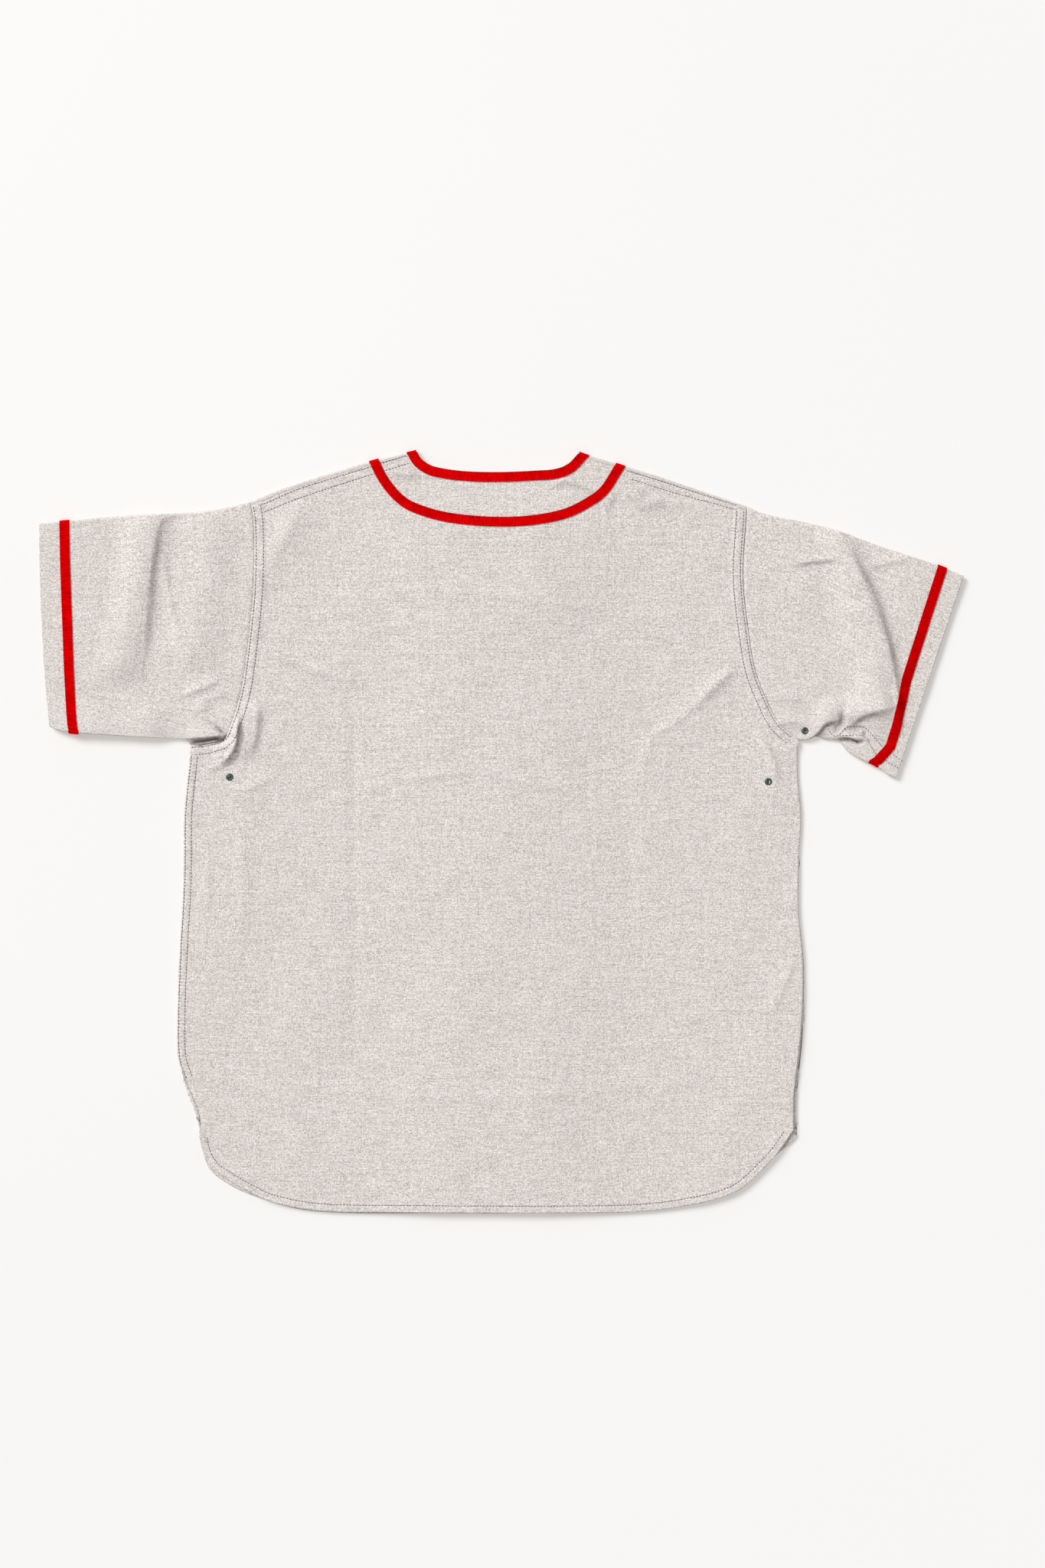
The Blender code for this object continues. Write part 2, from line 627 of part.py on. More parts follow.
def flat_section(section, facets, from_above, lower):
    """A section of a braid on one layer, on the faces of the panel under it."""
    middle, half = section
    row = []
    for side in (1, -1):
        point = on_shell(middle + side * half, 90 if from_above else -90, lower)
        point.z = facets.height(point, from_above) + (LIE_GAP if from_above else -LIE_GAP)
        row.append(point)
    return row


def fold_section(section, inward, turn):
    """A section of a braid part of the way round a shoulder fold."""
    middle, half = section
    lift = LIE_GAP + FOLD_CLEARANCE
    return [on_shell(middle + side * half + inward * roll_in(turn), turn, lift=lift, inward=inward)
            for side in (1, -1)]


def neck_braid_points(back_line, left_line, right_line, counts, panels):
    """All sections of a neck braid, from the left placket edge, over the back, to the right one."""
    on_back, on_front = counts
    upper_facets, left_facets, right_facets = panels
    left_fold = fold_direction(Curve(SHOULDER_LEFT), Vector(back_line[0]))
    right_fold = fold_direction(Curve(SHOULDER_RIGHT), Vector(back_line[-1]))
    in_left = Vector((left_fold.y, -left_fold.x))
    in_right = Vector((right_fold.y, -right_fold.x))
    top = braid_run(back_line, on_back, (left_fold, right_fold))
    # The left run is walked up from the placket, so that the braid goes one way round the neck
    left = braid_run(left_line[::-1], on_front, (None, left_fold))
    right = braid_run(right_line, on_front, (right_fold, None))
    edge_left, edge_right = top[0], top[-1]

    def cleared(run, place, inward):
        """Moves an end section in from the fold, to where the cloth lies flat again."""
        middle, half = run[place]
        run[place] = (middle + inward * ROLL, half)

    cleared(left, -1, in_left)
    cleared(top, 0, in_left)
    cleared(top, -1, in_right)
    cleared(right, 0, in_right)
    # Under the fronts the braid is met from below, so its left edge is on the other side
    rows = [flat_section((middle, -half), left_facets, False, floor_side) for middle, half in left]
    rows += [fold_section(edge_left, in_left, turn) for turn in (-60, -30, 0, 30, 60)]
    rows += [flat_section(section, upper_facets, True, floor_side) for section in top]
    rows += [fold_section(edge_right, in_right, turn) for turn in (60, 30, 0, -30, -60)]
    rows += [flat_section((middle, -half), right_facets, False, floor_side_right) for middle, half in right]
    return rows


# Small hard pieces

def eyelet_mesh(name, x, y):
    """A rolled rim, a barrel through the cloth and a washer under it, turned about one axis."""
    centre = plan_to_world(Vector((x, y, upper_side(x, y) + EYELET_GAP)))
    bm = bmesh.new()
    ring = [bm.verts.new(centre + Vector((r, 0, z)) * MM) for r, z in EYELET_PROFILE]
    edges = [bm.edges.new((a, b)) for a, b in zip(ring, ring[1:] + ring[:1])]
    bmesh.ops.spin(bm, geom=ring + edges, cent=centre, axis=(0, 0, 1), angle=math.tau,
                   steps=12, use_merge=True)
    bmesh.ops.remove_doubles(bm, verts=bm.verts, dist=1e-7)
    bmesh.ops.recalc_face_normals(bm, faces=bm.faces)
    return finish_mesh(bm, name)


def button_mesh(name, y):
    """A flat round button, standing on the floor under the placket."""
    bm = bmesh.new()
    bmesh.ops.create_cone(bm, cap_ends=True, segments=20, radius1=BUTTON_FACE * MM,
                          radius2=BUTTON_RADIUS * MM, depth=BUTTON_THICK * MM)
    bmesh.ops.translate(bm, verts=bm.verts, vec=plan_to_world(Vector((PLACKET_X, y, BUTTON_THICK / 2))))
    return finish_mesh(bm, name)


# The garment

for old in list(bpy.data.objects):
    bpy.data.objects.remove(old, do_unlink=True)

parts = bpy.data.collections.new("baseball_jersey")
cutters = bpy.data.collections.new("cutters")
bpy.context.scene.collection.children.link(parts)
bpy.context.scene.collection.children.link(cutters)

flannel = material("flannel", (0.68, 0.63, 0.60), 0.95)
braid = material("red_braid", (0.66, 0.003, 0.006), 0.75)
dark_metal = material("eyelet_metal", (0.13, 0.14, 0.12), 0.4, 1.0)
button_grey = material("button_grey", (0.32, 0.31, 0.30), 0.4)

patch_left = front_patch(True)
patch_right = front_patch(False)

front_left = sheet_mesh("front_left", front_points(patch_left, floor_side))
front_right = sheet_mesh("front_right", front_points(patch_right, floor_side_right))
for panel in (front_left, front_right):
    facing(panel, upwards=False)
    give_wall(add_object(panel, flannel), CLOTH)

back = sheet_mesh("back_panel", back_points())
facing(back, upwards=True)
back_panel = add_object(back, flannel)
give_wall(back_panel, CLOTH)

sleeves = {}
for name, left, distances in (("left", True, BRAID_LEFT_IN), ("right", False, BRAID_RIGHT_IN)):
    tube_rows, band_rows = sleeve_points(sleeve_patch(left), distances)
    tube = sheet_mesh("sleeve_" + name, tube_rows, closed=True)
    facing(tube, upwards=True, above=UPPER_LAYER)
    sleeves[name] = add_object(tube, flannel)
    give_wall(sleeves[name], CLOTH)
    band = sheet_mesh("sleeve_braid_" + name, band_rows, closed=True)
    facing(band, upwards=True, above=UPPER_LAYER)
    give_wall(add_object(band, braid), BRAID_THICK, outwards=True)

panels = (Facets([back, front_left, front_right]), Facets([front_left]), Facets([front_right]))
for name, back_line, left_line, right_line, counts in (
        ("neck_braid_inner", INNER_BACK, INNER_FRONT_LEFT, INNER_FRONT_RIGHT, (22, 20)),
        ("neck_braid_outer", OUTER_BACK, OUTER_FRONT_LEFT, OUTER_FRONT_RIGHT, (24, 18))):
    strip = sheet_mesh(name, neck_braid_points(back_line, left_line, right_line, counts, panels))
    facing(strip, upwards=True, above=UPPER_LAYER)
    give_wall(add_object(strip, braid), BRAID_THICK, outwards=True)

for name, x, y in EYELETS:
    add_object(eyelet_mesh(name, x, y), dark_metal)
    cut_round(sleeves["right"] if "sleeve" in name else back_panel, "hole_for_" + name, x, y)

for number in range(BUTTON_COUNT):
    add_object(button_mesh(f"button_{number + 1}", BUTTON_FIRST_Y - number * BUTTON_PITCH), button_grey)

for piece in parts.objects:
    piece.data.shade_smooth()
    piece.data.set_sharp_from_angle(angle=math.radians(40))
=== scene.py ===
# %% [markdown]
# # A baseball jersey, laid out flat with its back upwards
# The jersey is cut from light grey wool flannel, sewn with two rows of topstitching at each seam, and
# trimmed with ribbed red braid. It lies on its buttoned front, so two layers of cloth lie on each other.
#
# It could be draped by a cloth simulation, but then no crease would lie where the photograph has it.
# Laid-out cloth is a flat cut with small heights: where it rolls over at an edge, where it is sewn, and
# where it has creased. So each piece is a fine grid whose points are moved to their places.

import math

import bmesh
import bpy
import numpy as np
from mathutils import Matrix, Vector


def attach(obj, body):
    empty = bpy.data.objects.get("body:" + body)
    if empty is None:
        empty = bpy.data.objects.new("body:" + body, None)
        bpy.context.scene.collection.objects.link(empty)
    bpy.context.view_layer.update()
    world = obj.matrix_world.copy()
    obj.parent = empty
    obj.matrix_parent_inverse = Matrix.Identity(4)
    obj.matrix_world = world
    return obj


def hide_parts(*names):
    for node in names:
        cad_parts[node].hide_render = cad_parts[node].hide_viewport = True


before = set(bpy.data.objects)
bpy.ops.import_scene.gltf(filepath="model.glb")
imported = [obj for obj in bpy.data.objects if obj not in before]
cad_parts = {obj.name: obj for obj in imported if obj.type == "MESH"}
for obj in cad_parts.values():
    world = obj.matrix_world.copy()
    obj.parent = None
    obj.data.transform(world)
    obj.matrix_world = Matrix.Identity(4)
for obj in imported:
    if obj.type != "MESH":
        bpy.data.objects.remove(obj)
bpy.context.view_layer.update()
print("packed solids:", len(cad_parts))

# %% [markdown]
# ## Lines and cuts
# A tailor draws a panel as a few curved edges. Here each edge is a smooth line through measured
# points, and a cut fills the space between four edges. A filled curve would give the same outline, but
# no rows of points inside to bend. One set of lines serves the cloth, the seams and the stitches, so
# that they always meet.

# %% Lines through measured points, in millimetres
MM = 0.001
CENTRE = np.array([-1.85, 0.15])  # middle of the garment in the tables


class Line:
    """A smooth line through points, read by its share of length from 0 to 1."""

    def __init__(self, points, steps=16):
        knots = np.array(points, float)
        ends = np.vstack([2 * knots[0] - knots[1], knots, 2 * knots[-1] - knots[-2]])
        t = np.arange(1, steps + 1)[:, None] / steps
        runs = [knots[:1]]
        for a, b, c, d in zip(ends, ends[1:], ends[2:], ends[3:]):
            t1 = np.linalg.norm(b - a) ** 0.5
            t2 = t1 + np.linalg.norm(c - b) ** 0.5
            t3 = t2 + np.linalg.norm(d - c) ** 0.5
            s = t1 + (t2 - t1) * t
            p1 = a + (b - a) * s / t1
            p2 = b + (c - b) * (s - t1) / (t2 - t1)
            p3 = c + (d - c) * (s - t2) / (t3 - t2)
            q1 = p1 + (p2 - p1) * s / t2
            q2 = p2 + (p3 - p2) * (s - t1) / (t3 - t1)
            runs.append(q1 + (q2 - q1) * (s - t1) / (t2 - t1))
        self.set_points(np.vstack(runs))

    @classmethod
    def through(cls, points):
        """A line that runs straight from point to point."""
        line = cls.__new__(cls)
        line.set_points(points)
        return line

    def set_points(self, points):
        self.points = points
        steps = np.linalg.norm(np.diff(points, axis=0), axis=1)
        self.lengths = np.concatenate([[0], np.cumsum(steps)])
        self.length = self.lengths[-1]

    def at(self, share):
        along = np.clip(share, 0, 1) * self.length
        return np.stack([np.interp(along, self.lengths, self.points[:, k]) for k in (0, 1)], -1)

    def left(self, share):
        """The unit direction to the left of the line."""
        step = 0.5 / self.length
        run = self.at(np.asarray(share) + step) - self.at(np.asarray(share) - step)
        run = run / np.linalg.norm(run, axis=-1, keepdims=True)
        return np.stack([-run[..., 1], run[..., 0]], -1)

    def moved(self, distance, start=0.0, end=1.0):
        """The part of the line from start to end, moved to its left, by a distance or by one that
        depends on the share."""
        share = np.linspace(start, end, max(int(self.length / 2), 8))
        if callable(distance):
            distance = distance(share)[:, None]
        return Line.through(self.at(share) + distance * self.left(share))


# %% Panels between four edges
def joined(*parts):
    """Joins (line, share) parts end to end; the shares say how much of 0 to 1 each one takes."""
    starts = np.cumsum([0.0] + [size for _, size in parts])

    def at(share):
        share = np.asarray(share, float)
        line, size = parts[-1]
        out = line.at((share - starts[-2]) / size)
        for (line, size), start in reversed(list(zip(parts[:-1], starts))):
            out = np.where((share < start + size)[..., None], line.at((share - start) / size), out)
        return out
    return at


class Cut:
    """The plan of a panel: u runs from one side to the other and v from top to bottom."""

    def __init__(self, side_a, side_b, top, bottom):
        self.side_a, self.side_b = side_a, side_b
        self.top, self.bottom = top, bottom

    def at(self, u, v):
        u, v = np.broadcast_arrays(np.asarray(u, float), np.asarray(v, float))
        across, down = u[..., None], v[..., None]
        a, b = self.side_a(v), self.side_b(v)
        top = self.top(u) - self.top(0.0) * (1 - across) - self.top(1.0) * across
        low = self.bottom(u) - self.bottom(0.0) * (1 - across) - self.bottom(1.0) * across
        return a + (b - a) * across + (1 - down) * top + down * low

    def width(self, v):
        return np.linalg.norm(self.side_b(v) - self.side_a(v), axis=-1)

    def height(self, u):
        return np.linalg.norm(self.bottom(u) - self.top(u), axis=-1)


# %% The edges of the panels
SHOULDER_LEFT = Line([(-246.6, 321.5), (-214.0, 334.5), (-169.5, 348.8), (-125.0, 361.5), (-84.6, 370.6)])
SHOULDER_RIGHT = Line([(236.5, 317.0), (203.0, 328.5), (158.3, 343.6), (113.6, 357.2), (74.1, 369.0)])
NECK_BACK = Line([
    (-84.6, 370.6), (-80.0, 362.5), (-71.0, 356.5), (-60.0, 353.5), (-37.6, 350.6), (-4.0, 349.8),
    (29.4, 351.2), (51.8, 353.0), (63.0, 358.5), (74.1, 369.0)])
NECK_FRONT_LEFT = Line([
    (-84.6, 370.6), (-84.0, 340.0), (-74.0, 307.0), (-50.0, 282.0), (-18.0, 271.0), (9.0, 270.0)])
NECK_FRONT_RIGHT = Line([
    (74.1, 369.0), (72.0, 340.0), (62.0, 307.0), (38.0, 282.0), (6.0, 271.0), (-21.0, 270.0)])
ARMHOLE_LEFT = Line([
    (-246.6, 321.5), (-243.6, 305.8), (-242.9, 246.2), (-248.1, 188.1), (-255.2, 138.2),
    (-262.5, 112.0), (-271.6, 91.6), (-284.2, 86.8), (-294.6, 84.9), (-304.3, 84.2)])
ARMHOLE_RIGHT = Line([
    (236.5, 317.0), (236.0, 305.8), (233.0, 247.7), (237.9, 198.5), (244.7, 158.0),
    (256.3, 127.6), (267.8, 106.0), (287.2, 89.0)])
SIDE_LEFT = Line([
    (-304.3, 84.2), (-307.7, 53.3), (-311.0, 19.7), (-312.0, -50.0), (-315.5, -114.4),
    (-317.7, -174.0), (-317.0, -218.7), (-312.9, -233.6), (-303.2, -257.4), (-297.0, -275.0),
    (-296.1, -291.7)])
SIDE_RIGHT = Line([
    (287.2, 89.0), (286.6, 60.0), (290.0, 16.0), (287.9, -27.2), (287.6, -80.0),
    (291.7, -125.5), (290.2, -188.9), (285.0, -236.5), (282.7, -258.0), (282.7, -289.4)])
HEM_BACK = Line([
    (-296.1, -291.7), (-292.5, -311.0), (-283.5, -326.7), (-265.6, -339.5), (-244.7, -351.3),
    (-226.9, -359.5), (-198.5, -366.2), (-170.0, -369.4), (-70.0, -370.2), (46.6, -370.6),
    (140.0, -369.0), (185.0, -362.4), (212.0, -355.7), (230.6, -347.5), (264.0, -315.5), (282.7, -289.4)])
HEM_FRONT_LEFT = Line([
    (-296.1, -291.7), (-292.5, -313.0), (-286.0, -329.0), (-270.0, -342.0), (-244.7, -354.0),
    (-200.0, -367.4), (-150.0, -371.4), (-60.0, -371.5), (9.0, -371.0)])
HEM_FRONT_RIGHT = Line([
    (282.7, -289.4), (285.6, -295.0), (264.0, -316.5), (230.0, -348.0), (212.0, -356.0),
    (185.0, -362.7), (150.0, -368.0), (77.0, -370.0), (0.0, -371.3), (-21.0, -371.3)])
SLEEVE_LEFT_TOP = Line([
    (-246.6, 321.5), (-273.8, 314.8), (-303.6, 311.0), (-363.2, 308.1), (-422.8, 302.8), (-451.8, 299.9)])
SLEEVE_LEFT_CUFF = Line([
    (-451.8, 299.9), (-451.1, 258.1), (-449.6, 213.4), (-446.2, 153.8), (-441.4, 102.4)])
SLEEVE_LEFT_LOW = Line([
    (-304.3, 84.2), (-309.5, 89.4), (-340.0, 91.3), (-378.1, 93.5), (-421.3, 96.5), (-435.5, 99.5),
    (-441.4, 102.4)])
SLEEVE_RIGHT_TOP = Line([
    (236.5, 317.0), (252.2, 310.3), (290.2, 302.1), (328.2, 292.4), (360.2, 280.5), (422.0, 259.6),
    (448.1, 249.2)])
SLEEVE_RIGHT_CUFF = Line([(448.1, 249.2), (415.0, 150.9), (381.8, 52.5)])
SLEEVE_RIGHT_LOW = Line([
    (287.2, 89.0), (297.6, 89.5), (304.0, 92.6), (313.3, 90.2), (326.7, 88.0), (334.1, 79.3),
    (349.0, 69.9), (360.2, 65.8), (376.0, 54.5), (381.8, 52.5)])
print("width of the shoulders:", round(SHOULDER_RIGHT.at(0.0)[0] - SHOULDER_LEFT.at(0.0)[0]), "mm")

# %% [markdown]
# ## Heights
# Two layers of flannel lie 4 mm high. The upper one rises over the braid and the buttons that lie
# under it, over large folds, and over many small creases. They could be sculpted, but a table is easier
# to set against the photograph: each crease is one row with its height, its width and the points that
# it runs through. The slits in the tightest folds are narrower than the cells of the grid, so the shade
# in them is painted into the cloth's colour, from a table of its own.

# %% Heights of the layers
CLOTH = 1.2
LAID_HEIGHT = 4.2  # from the floor to the top of the two layers
ROLL = LAID_HEIGHT / 2
BRAID_WIDTH = 9.4
BRAID_THICK = 0.75
TRIM_LIFT = 1.3  # how far a layer rises over braid that lies under it
PLACKET_X = -6.0
PLACKET_HALF = 15.0
BUTTON_LIFT = 2.6  # how far the fronts rise over the buttons
LAP_LIFT = 1.6  # how far the right front rises over the left one
CROWN = 3.4  # how far the back rises over buttons and placket
SLEEVE_CURL = 5.0  # how far the left sleeve's lower edge lies off the ground
UPPER_FROM = 3.0  # cloth above this height belongs to the upper layer


def ramp(value, start, end):
    """0 at start, 1 at end, soft at both."""
    t = np.clip((value - start) / (end - start), 0, 1)
    return t * t * (3 - 2 * t)


def from_line(xy, a, b):
    """Distance from a straight line through two points."""
    along = (b - a) / np.linalg.norm(b - a)
    return np.abs(along[0] * (xy[..., 1] - a[1]) - along[1] * (xy[..., 0] - a[0]))


def trim_lift(xy):
    """How far the cloth rises where the neck braids and sleeve braids lie under it."""
    neck = 1 - ramp(np.hypot((xy[..., 0] + 6) / 142, (xy[..., 1] - 365) / 155), 1.0, 1.3)
    left = 1 - ramp(from_line(xy, *SLEEVE_LEFT_CUFF.points[[0, -1]]), 42, 75)
    right = 1 - ramp(from_line(xy, *SLEEVE_RIGHT_CUFF.points[[0, -1]]), 42, 75)
    return TRIM_LIFT * np.maximum(neck, np.maximum(left, right))


def sleeve_lift(xy):
    """The lower edge of the left sleeve curls up from the ground, so its shadow is wide and soft."""
    x, y = xy[..., 0], xy[..., 1]
    near_edge = 1 - ramp(y - 0.09 * (-306 - x), 88, 135)
    past_underarm = ramp(-x, 318, 350)
    towards_cuff = 1 - 0.6 * ramp(-x, 405, 445)
    return SLEEVE_CURL * near_edge * past_underarm * towards_cuff


def lower_side(xy):
    """Height of the lower face of the lower layer."""
    x, y = xy[..., 0], xy[..., 1]
    over_buttons = BUTTON_LIFT * (1 - ramp(np.abs(x - PLACKET_X), 22, 62 + 70 * ramp(y, 160, 215)))
    return np.maximum(trim_lift(xy), over_buttons * (1 - ramp(y, 285, 330))) + sleeve_lift(xy)


def lower_side_right(xy):
    """The right front laps over the left one at the buttons."""
    x, y = xy[..., 0], xy[..., 1]
    lap = LAP_LIFT * (1 - ramp(x - PLACKET_X - PLACKET_HALF, 10, 50 + 60 * ramp(y, 160, 215)))
    return lower_side(xy) + lap * (1 - ramp(y, 285, 330))


# %% Table of folds
# Columns: height, half width, points from one end to the other
FOLDS = [
    (4.5, 30.0, [(-345, 300), (-372, 165)]),
    (3.0, 34.0, [(-285, 290), (-300, 180)]),
    (1.4, 26.0, [(-198, 309), (-229, 253)]),
    (2.5, 18.0, [(-244, 118), (-254, 82)]),
    (0.6, 24.0, [(223, 157), (140, 60)]),
    (3.0, 28.0, [(326, 285), (345, 215)]),
    (4.0, 28.0, [(345, 215), (365, 120)]),
    (3.0, 18.0, [(316, 117), (352, 122)])]

# %% Table of creases
# Columns: height, width to the left of its run, width to the right, points. A crease that goes down
# has a height below 0, and one with a narrow side drops there like a step.
CREASES = [
    (3.1, 3.2, 24.0, [(-322, 308), (-333, 302), (-338, 278), (-342, 251), (-345, 225), (-349, 170)]),
    (1.4, 3.0, 5.0, [(-331, 272), (-327, 242), (-320, 206), (-304, 176)]),
    (2.2, 3.5, 6.0, [(-276, 147), (-314, 132)]),
    (1.3, 3.0, 5.0, [(-268, 136), (-300, 124)]),
    (2.9, 3.0, 7.0, [(-269, 98), (-304, 121)]),
    (1.6, 2.0, 4.0, [(-286, 120), (-300, 119)]),
    (-2.2, 2.0, 2.0, [(-281, 104), (-271, 94)]),
    (3.6, 8.0, 1.6, [(-310, 91.0), (-290, 92.3), (-272, 93.5)]),
    (-1.3, 3.0, 3.0, [(-298, 83), (-275, 87)]),
    (1.3, 4.0, 9.0, [(-198, 310), (-214, 282), (-229, 253)]),
    (1.9, 5.0, 2.6, [(-229, 175), (-192, 161), (-155, 147), (-139, 142)]),
    (1.2, 4.0, 6.0, [(-288, -29), (-288, -68)]),
    (1.2, 4.0, 6.0, [(-254, 9), (-253, -47), (-254, -99)]),
    (4.8, 2.0, 8.0, [(-257, 112), (-257, 93), (-259, 85), (-261, 78), (-265, 72), (-271, 67), (-277, 63)]),
    (2, 2.2, 7.0, [(-238, 122), (-238, 102), (-240, 91), (-243, 79)]),
    (1.6, 5.0, 2.4, [(-255, 41), (-242, 43), (-227, 53)]),
    (1.2, 2.0, 3.0, [(-274, 78), (-279, 70)]),
    (-1.2, 2.6, 2.6, [(-145, 146), (-146, 39), (-144, -85), (-145, -213)]),
    (-0.8, 3.0, 3.0, [(81, 77), (82, 16)]),
    (-0.7, 3.0, 3.0, [(97, 77), (98, 16)]),
    (-0.9, 3.0, 3.0, [(120, 1), (124, -83)]),
    (0.9, 4.0, 3.0, [(-143, 232), (-63, 232), (14, 230), (120, 210), (167, 207)]),
    (0.9, 4.0, 3.0, [(-131, 44), (-32, 58), (44, 44), (79, 47)]),
    (0.9, 4.5, 3.5, [(-238, -247), (-162, -251), (-63, -259), (44, -257), (120, -249), (205, -243)]),
    (1.5, 3.0, 5.0, [(223, 157), (174, 111), (147, 92), (132, 47)]),
    (1.6, 3.0, 6.0, [(224, 158), (208, 142), (194, 128)]),
    (1.9, 3.0, 5.0, [(252, 94), (262, 70), (267, 49)]),
    (1.8, 7.0, 2.6, [(250, 44), (286, 20)]),
    (1.3, 3.0, 6.0, [(284, -125), (262, -175)]),
    (0.9, 4.0, 3.0, [(189, -171), (266, -175)]),
    (2.0, 2.5, 2.5, [(98.7, 310), (108.6, 327.7)]),
    (2.0, 2.5, 2.5, [(118.6, 325), (129.8, 325), (137, 332.6)]),
    (1.7, 4.0, 2.5, [(131, 313), (145, 318), (158, 320), (197, 314)]),
    (1.6, 3.0, 2.5, [(-108.6, 347.5), (-82.5, 345)]),
    (1.6, 3.0, 2.5, [(46.6, 334), (59, 340), (86, 331)]),
    (5.8, 4.6, 22.0, [(335, 280), (346, 254), (360, 228), (370, 196), (378, 162), (384, 126)]),
    (1.9, 5.0, 2.4, [(282, 259), (300, 262), (324, 265)]),
    (1.6, 6.0, 3.0, [(357, 258), (397, 267)]),
    (2.1, 2.6, 7.0, [(349, 148), (362, 141), (372, 133), (376, 124)]),
    (1.9, 3.0, 3.0, [(381, 146), (383, 120), (382, 95)]),
    (4.4, 4.5, 14.0, [(378, 122), (367, 118), (353.5, 115), (344.6, 110), (335.6, 102.4)]),
    (1, 8.0, 12.0, [(334, 243), (334, 154)]),
    (-3, 3.2, 3.2, [(330, 118), (329, 106), (323, 98)]),
    (2.3, 5.0, 3.0, [(336, 118), (334, 108), (329, 99)]),
    (3, 9.0, 1.6, [(296, 89.5), (305.8, 96.5), (313.3, 105.4), (325, 108)]),
    (-2.6, 1.7, 1.7, [(326, 89), (335.6, 89), (344.6, 86.8), (349, 87.2)]),
    (3.2, 6.0, 1.3, [(322, 91.5), (335, 91.8), (344, 90), (352, 90)]),
    (1.7, 2.0, 3.0, [(333, 103.5), (350.5, 103.4), (359.5, 96.5), (368.4, 86)]),
    (-1.6, 1.8, 1.8, [(351.3, 98), (351.3, 92)]),
    (1.7, 5.0, 3.0, [(262, 104), (281, 107), (297, 102)]),
    (1.3, 4.0, 3.0, [(266, 132), (290, 128)]),
    (1.6, 3.0, 5.0, [(300, 150), (318, 132), (328, 122)])]

# %% Table of painted shade in the slits
# Columns: how dark the painted shade is, half width, points. The shade inside these slits is painted into
# the cloth's colour.
PAINTED_SHADE_SLITS = [
    (0.9, 2.4, [(-305, 87), (-290, 88.8), (-273, 91.3)]),
    (0.8, 1.6, [(-256.5, 107), (-257.5, 95), (-258.5, 86), (-262, 78), (-268, 70), (-273, 67)]),
    (0.6, 1.3, [(-279, 102.5), (-270.5, 93.5)]),
    (0.25, 1.6, [(-237.5, 111), (-239.5, 92.5), (-243, 79.5)]),
    (0.18, 3.0, [(-336, 290), (-340, 262), (-342, 235)]),
    (0.22, 1.5, [(195.6, 130), (210, 143), (222.4, 156.8)]),
    (0.35, 1.4, [(282, 259.5), (300, 261.5), (321, 263.5)]),
    (0.24, 3.2, [(338, 272), (352.5, 246), (364.5, 213), (376.5, 178), (381, 150)]),
    (0.5, 3.2, [(329.7, 114), (328.9, 106), (323, 98.5)]),
    (0.45, 2.6, [(366, 116), (353, 112.5), (344, 107.5), (337, 102)]),
    (0.6, 1.5, [(299.5, 88.5), (306.5, 95), (314.3, 103.9), (323.7, 106.6)]),
    (0.3, 4.0, [(306, 90.5), (315, 97)]),
    (0.95, 1.7, [(327.4, 89.8), (335.6, 90), (344.6, 87.5), (347.5, 88)]),
    (0.5, 1.2, [(351.3, 97), (351.3, 92.8)]),
    (0.34, 1.7, [(98.7, 310), (108.6, 327.7)]),
    (0.34, 1.7, [(118.6, 325), (129.8, 325), (137, 332.6)]),
    (0.22, 2.2, [(131, 313), (158, 320)]),
    (0.25, 2.2, [(-108.6, 347.5), (-82.5, 345)]),
    (0.22, 2.2, [(46.6, 334), (59, 340), (86, 331)])]

# %% Heights read from the tables
def nearest(xy, points):
    """Distance from each place to a run of points, the share of the run that is nearest, and the
    side that the place is on: 1 to the left, -1 to the right."""
    points = np.asarray(points, float)
    steps = np.linalg.norm(np.diff(points, axis=0), axis=1)
    starts = np.concatenate([[0], np.cumsum(steps)])
    best = np.full(xy.shape[:-1], np.inf)
    share = np.zeros(xy.shape[:-1])
    side = np.ones(xy.shape[:-1])
    for a, b, step, start in zip(points, points[1:], steps, starts):
        along = np.clip(((xy - a) @ (b - a)) / step ** 2, 0, 1)
        away = np.linalg.norm(xy - (a + along[..., None] * (b - a)), axis=-1)
        nearer = away < best
        best = np.where(nearer, away, best)
        share = np.where(nearer, (start + along * step) / starts[-1], share)
        run, gap = b - a, xy - a
        side = np.where(nearer, np.sign(run[0] * gap[..., 1] - run[1] * gap[..., 0]), side)
    return best, share, side


def creases(xy):
    total = np.zeros(xy.shape[:-1])
    for height, left, right, points in CREASES:
        run = np.asarray(points, float)
        reach = 4 * max(left, right)
        inside = ((xy > run.min(0) - reach) & (xy < run.max(0) + reach)).all(-1)
        if not inside.any():
            continue
        away, share, side = nearest(xy[inside], Line(points, 4).points)
        width = np.where(side > 0, left, right)
        fade = ramp(share, -0.02, 0.25) * (1 - ramp(share, 0.75, 1.02))
        total[inside] += height * (0.35 + 0.65 * fade) * np.exp(-(away / width) ** 1.5)
    return total


def painted_shade_in_slits(xy):
    """How dark the painted shade of the slits makes the cloth, from 0 to 1."""
    total = np.zeros(xy.shape[:-1])
    for amount, half, points in PAINTED_SHADE_SLITS:
        away, share, _ = nearest(xy, points)
        ends = ramp(share, -0.05, 0.2) * (1 - ramp(share, 0.8, 1.05))
        total = np.maximum(total, amount * (0.4 + 0.6 * ends) * np.exp(-(away / half) ** 2))
    return total


def folds(xy):
    total = np.zeros(xy.shape[:-1])
    for height, half, points in FOLDS:
        away = np.minimum(nearest(xy, points)[0] / half, 1)
        total = np.maximum(total, height * (0.5 + 0.5 * np.cos(np.pi * away)))
    return total


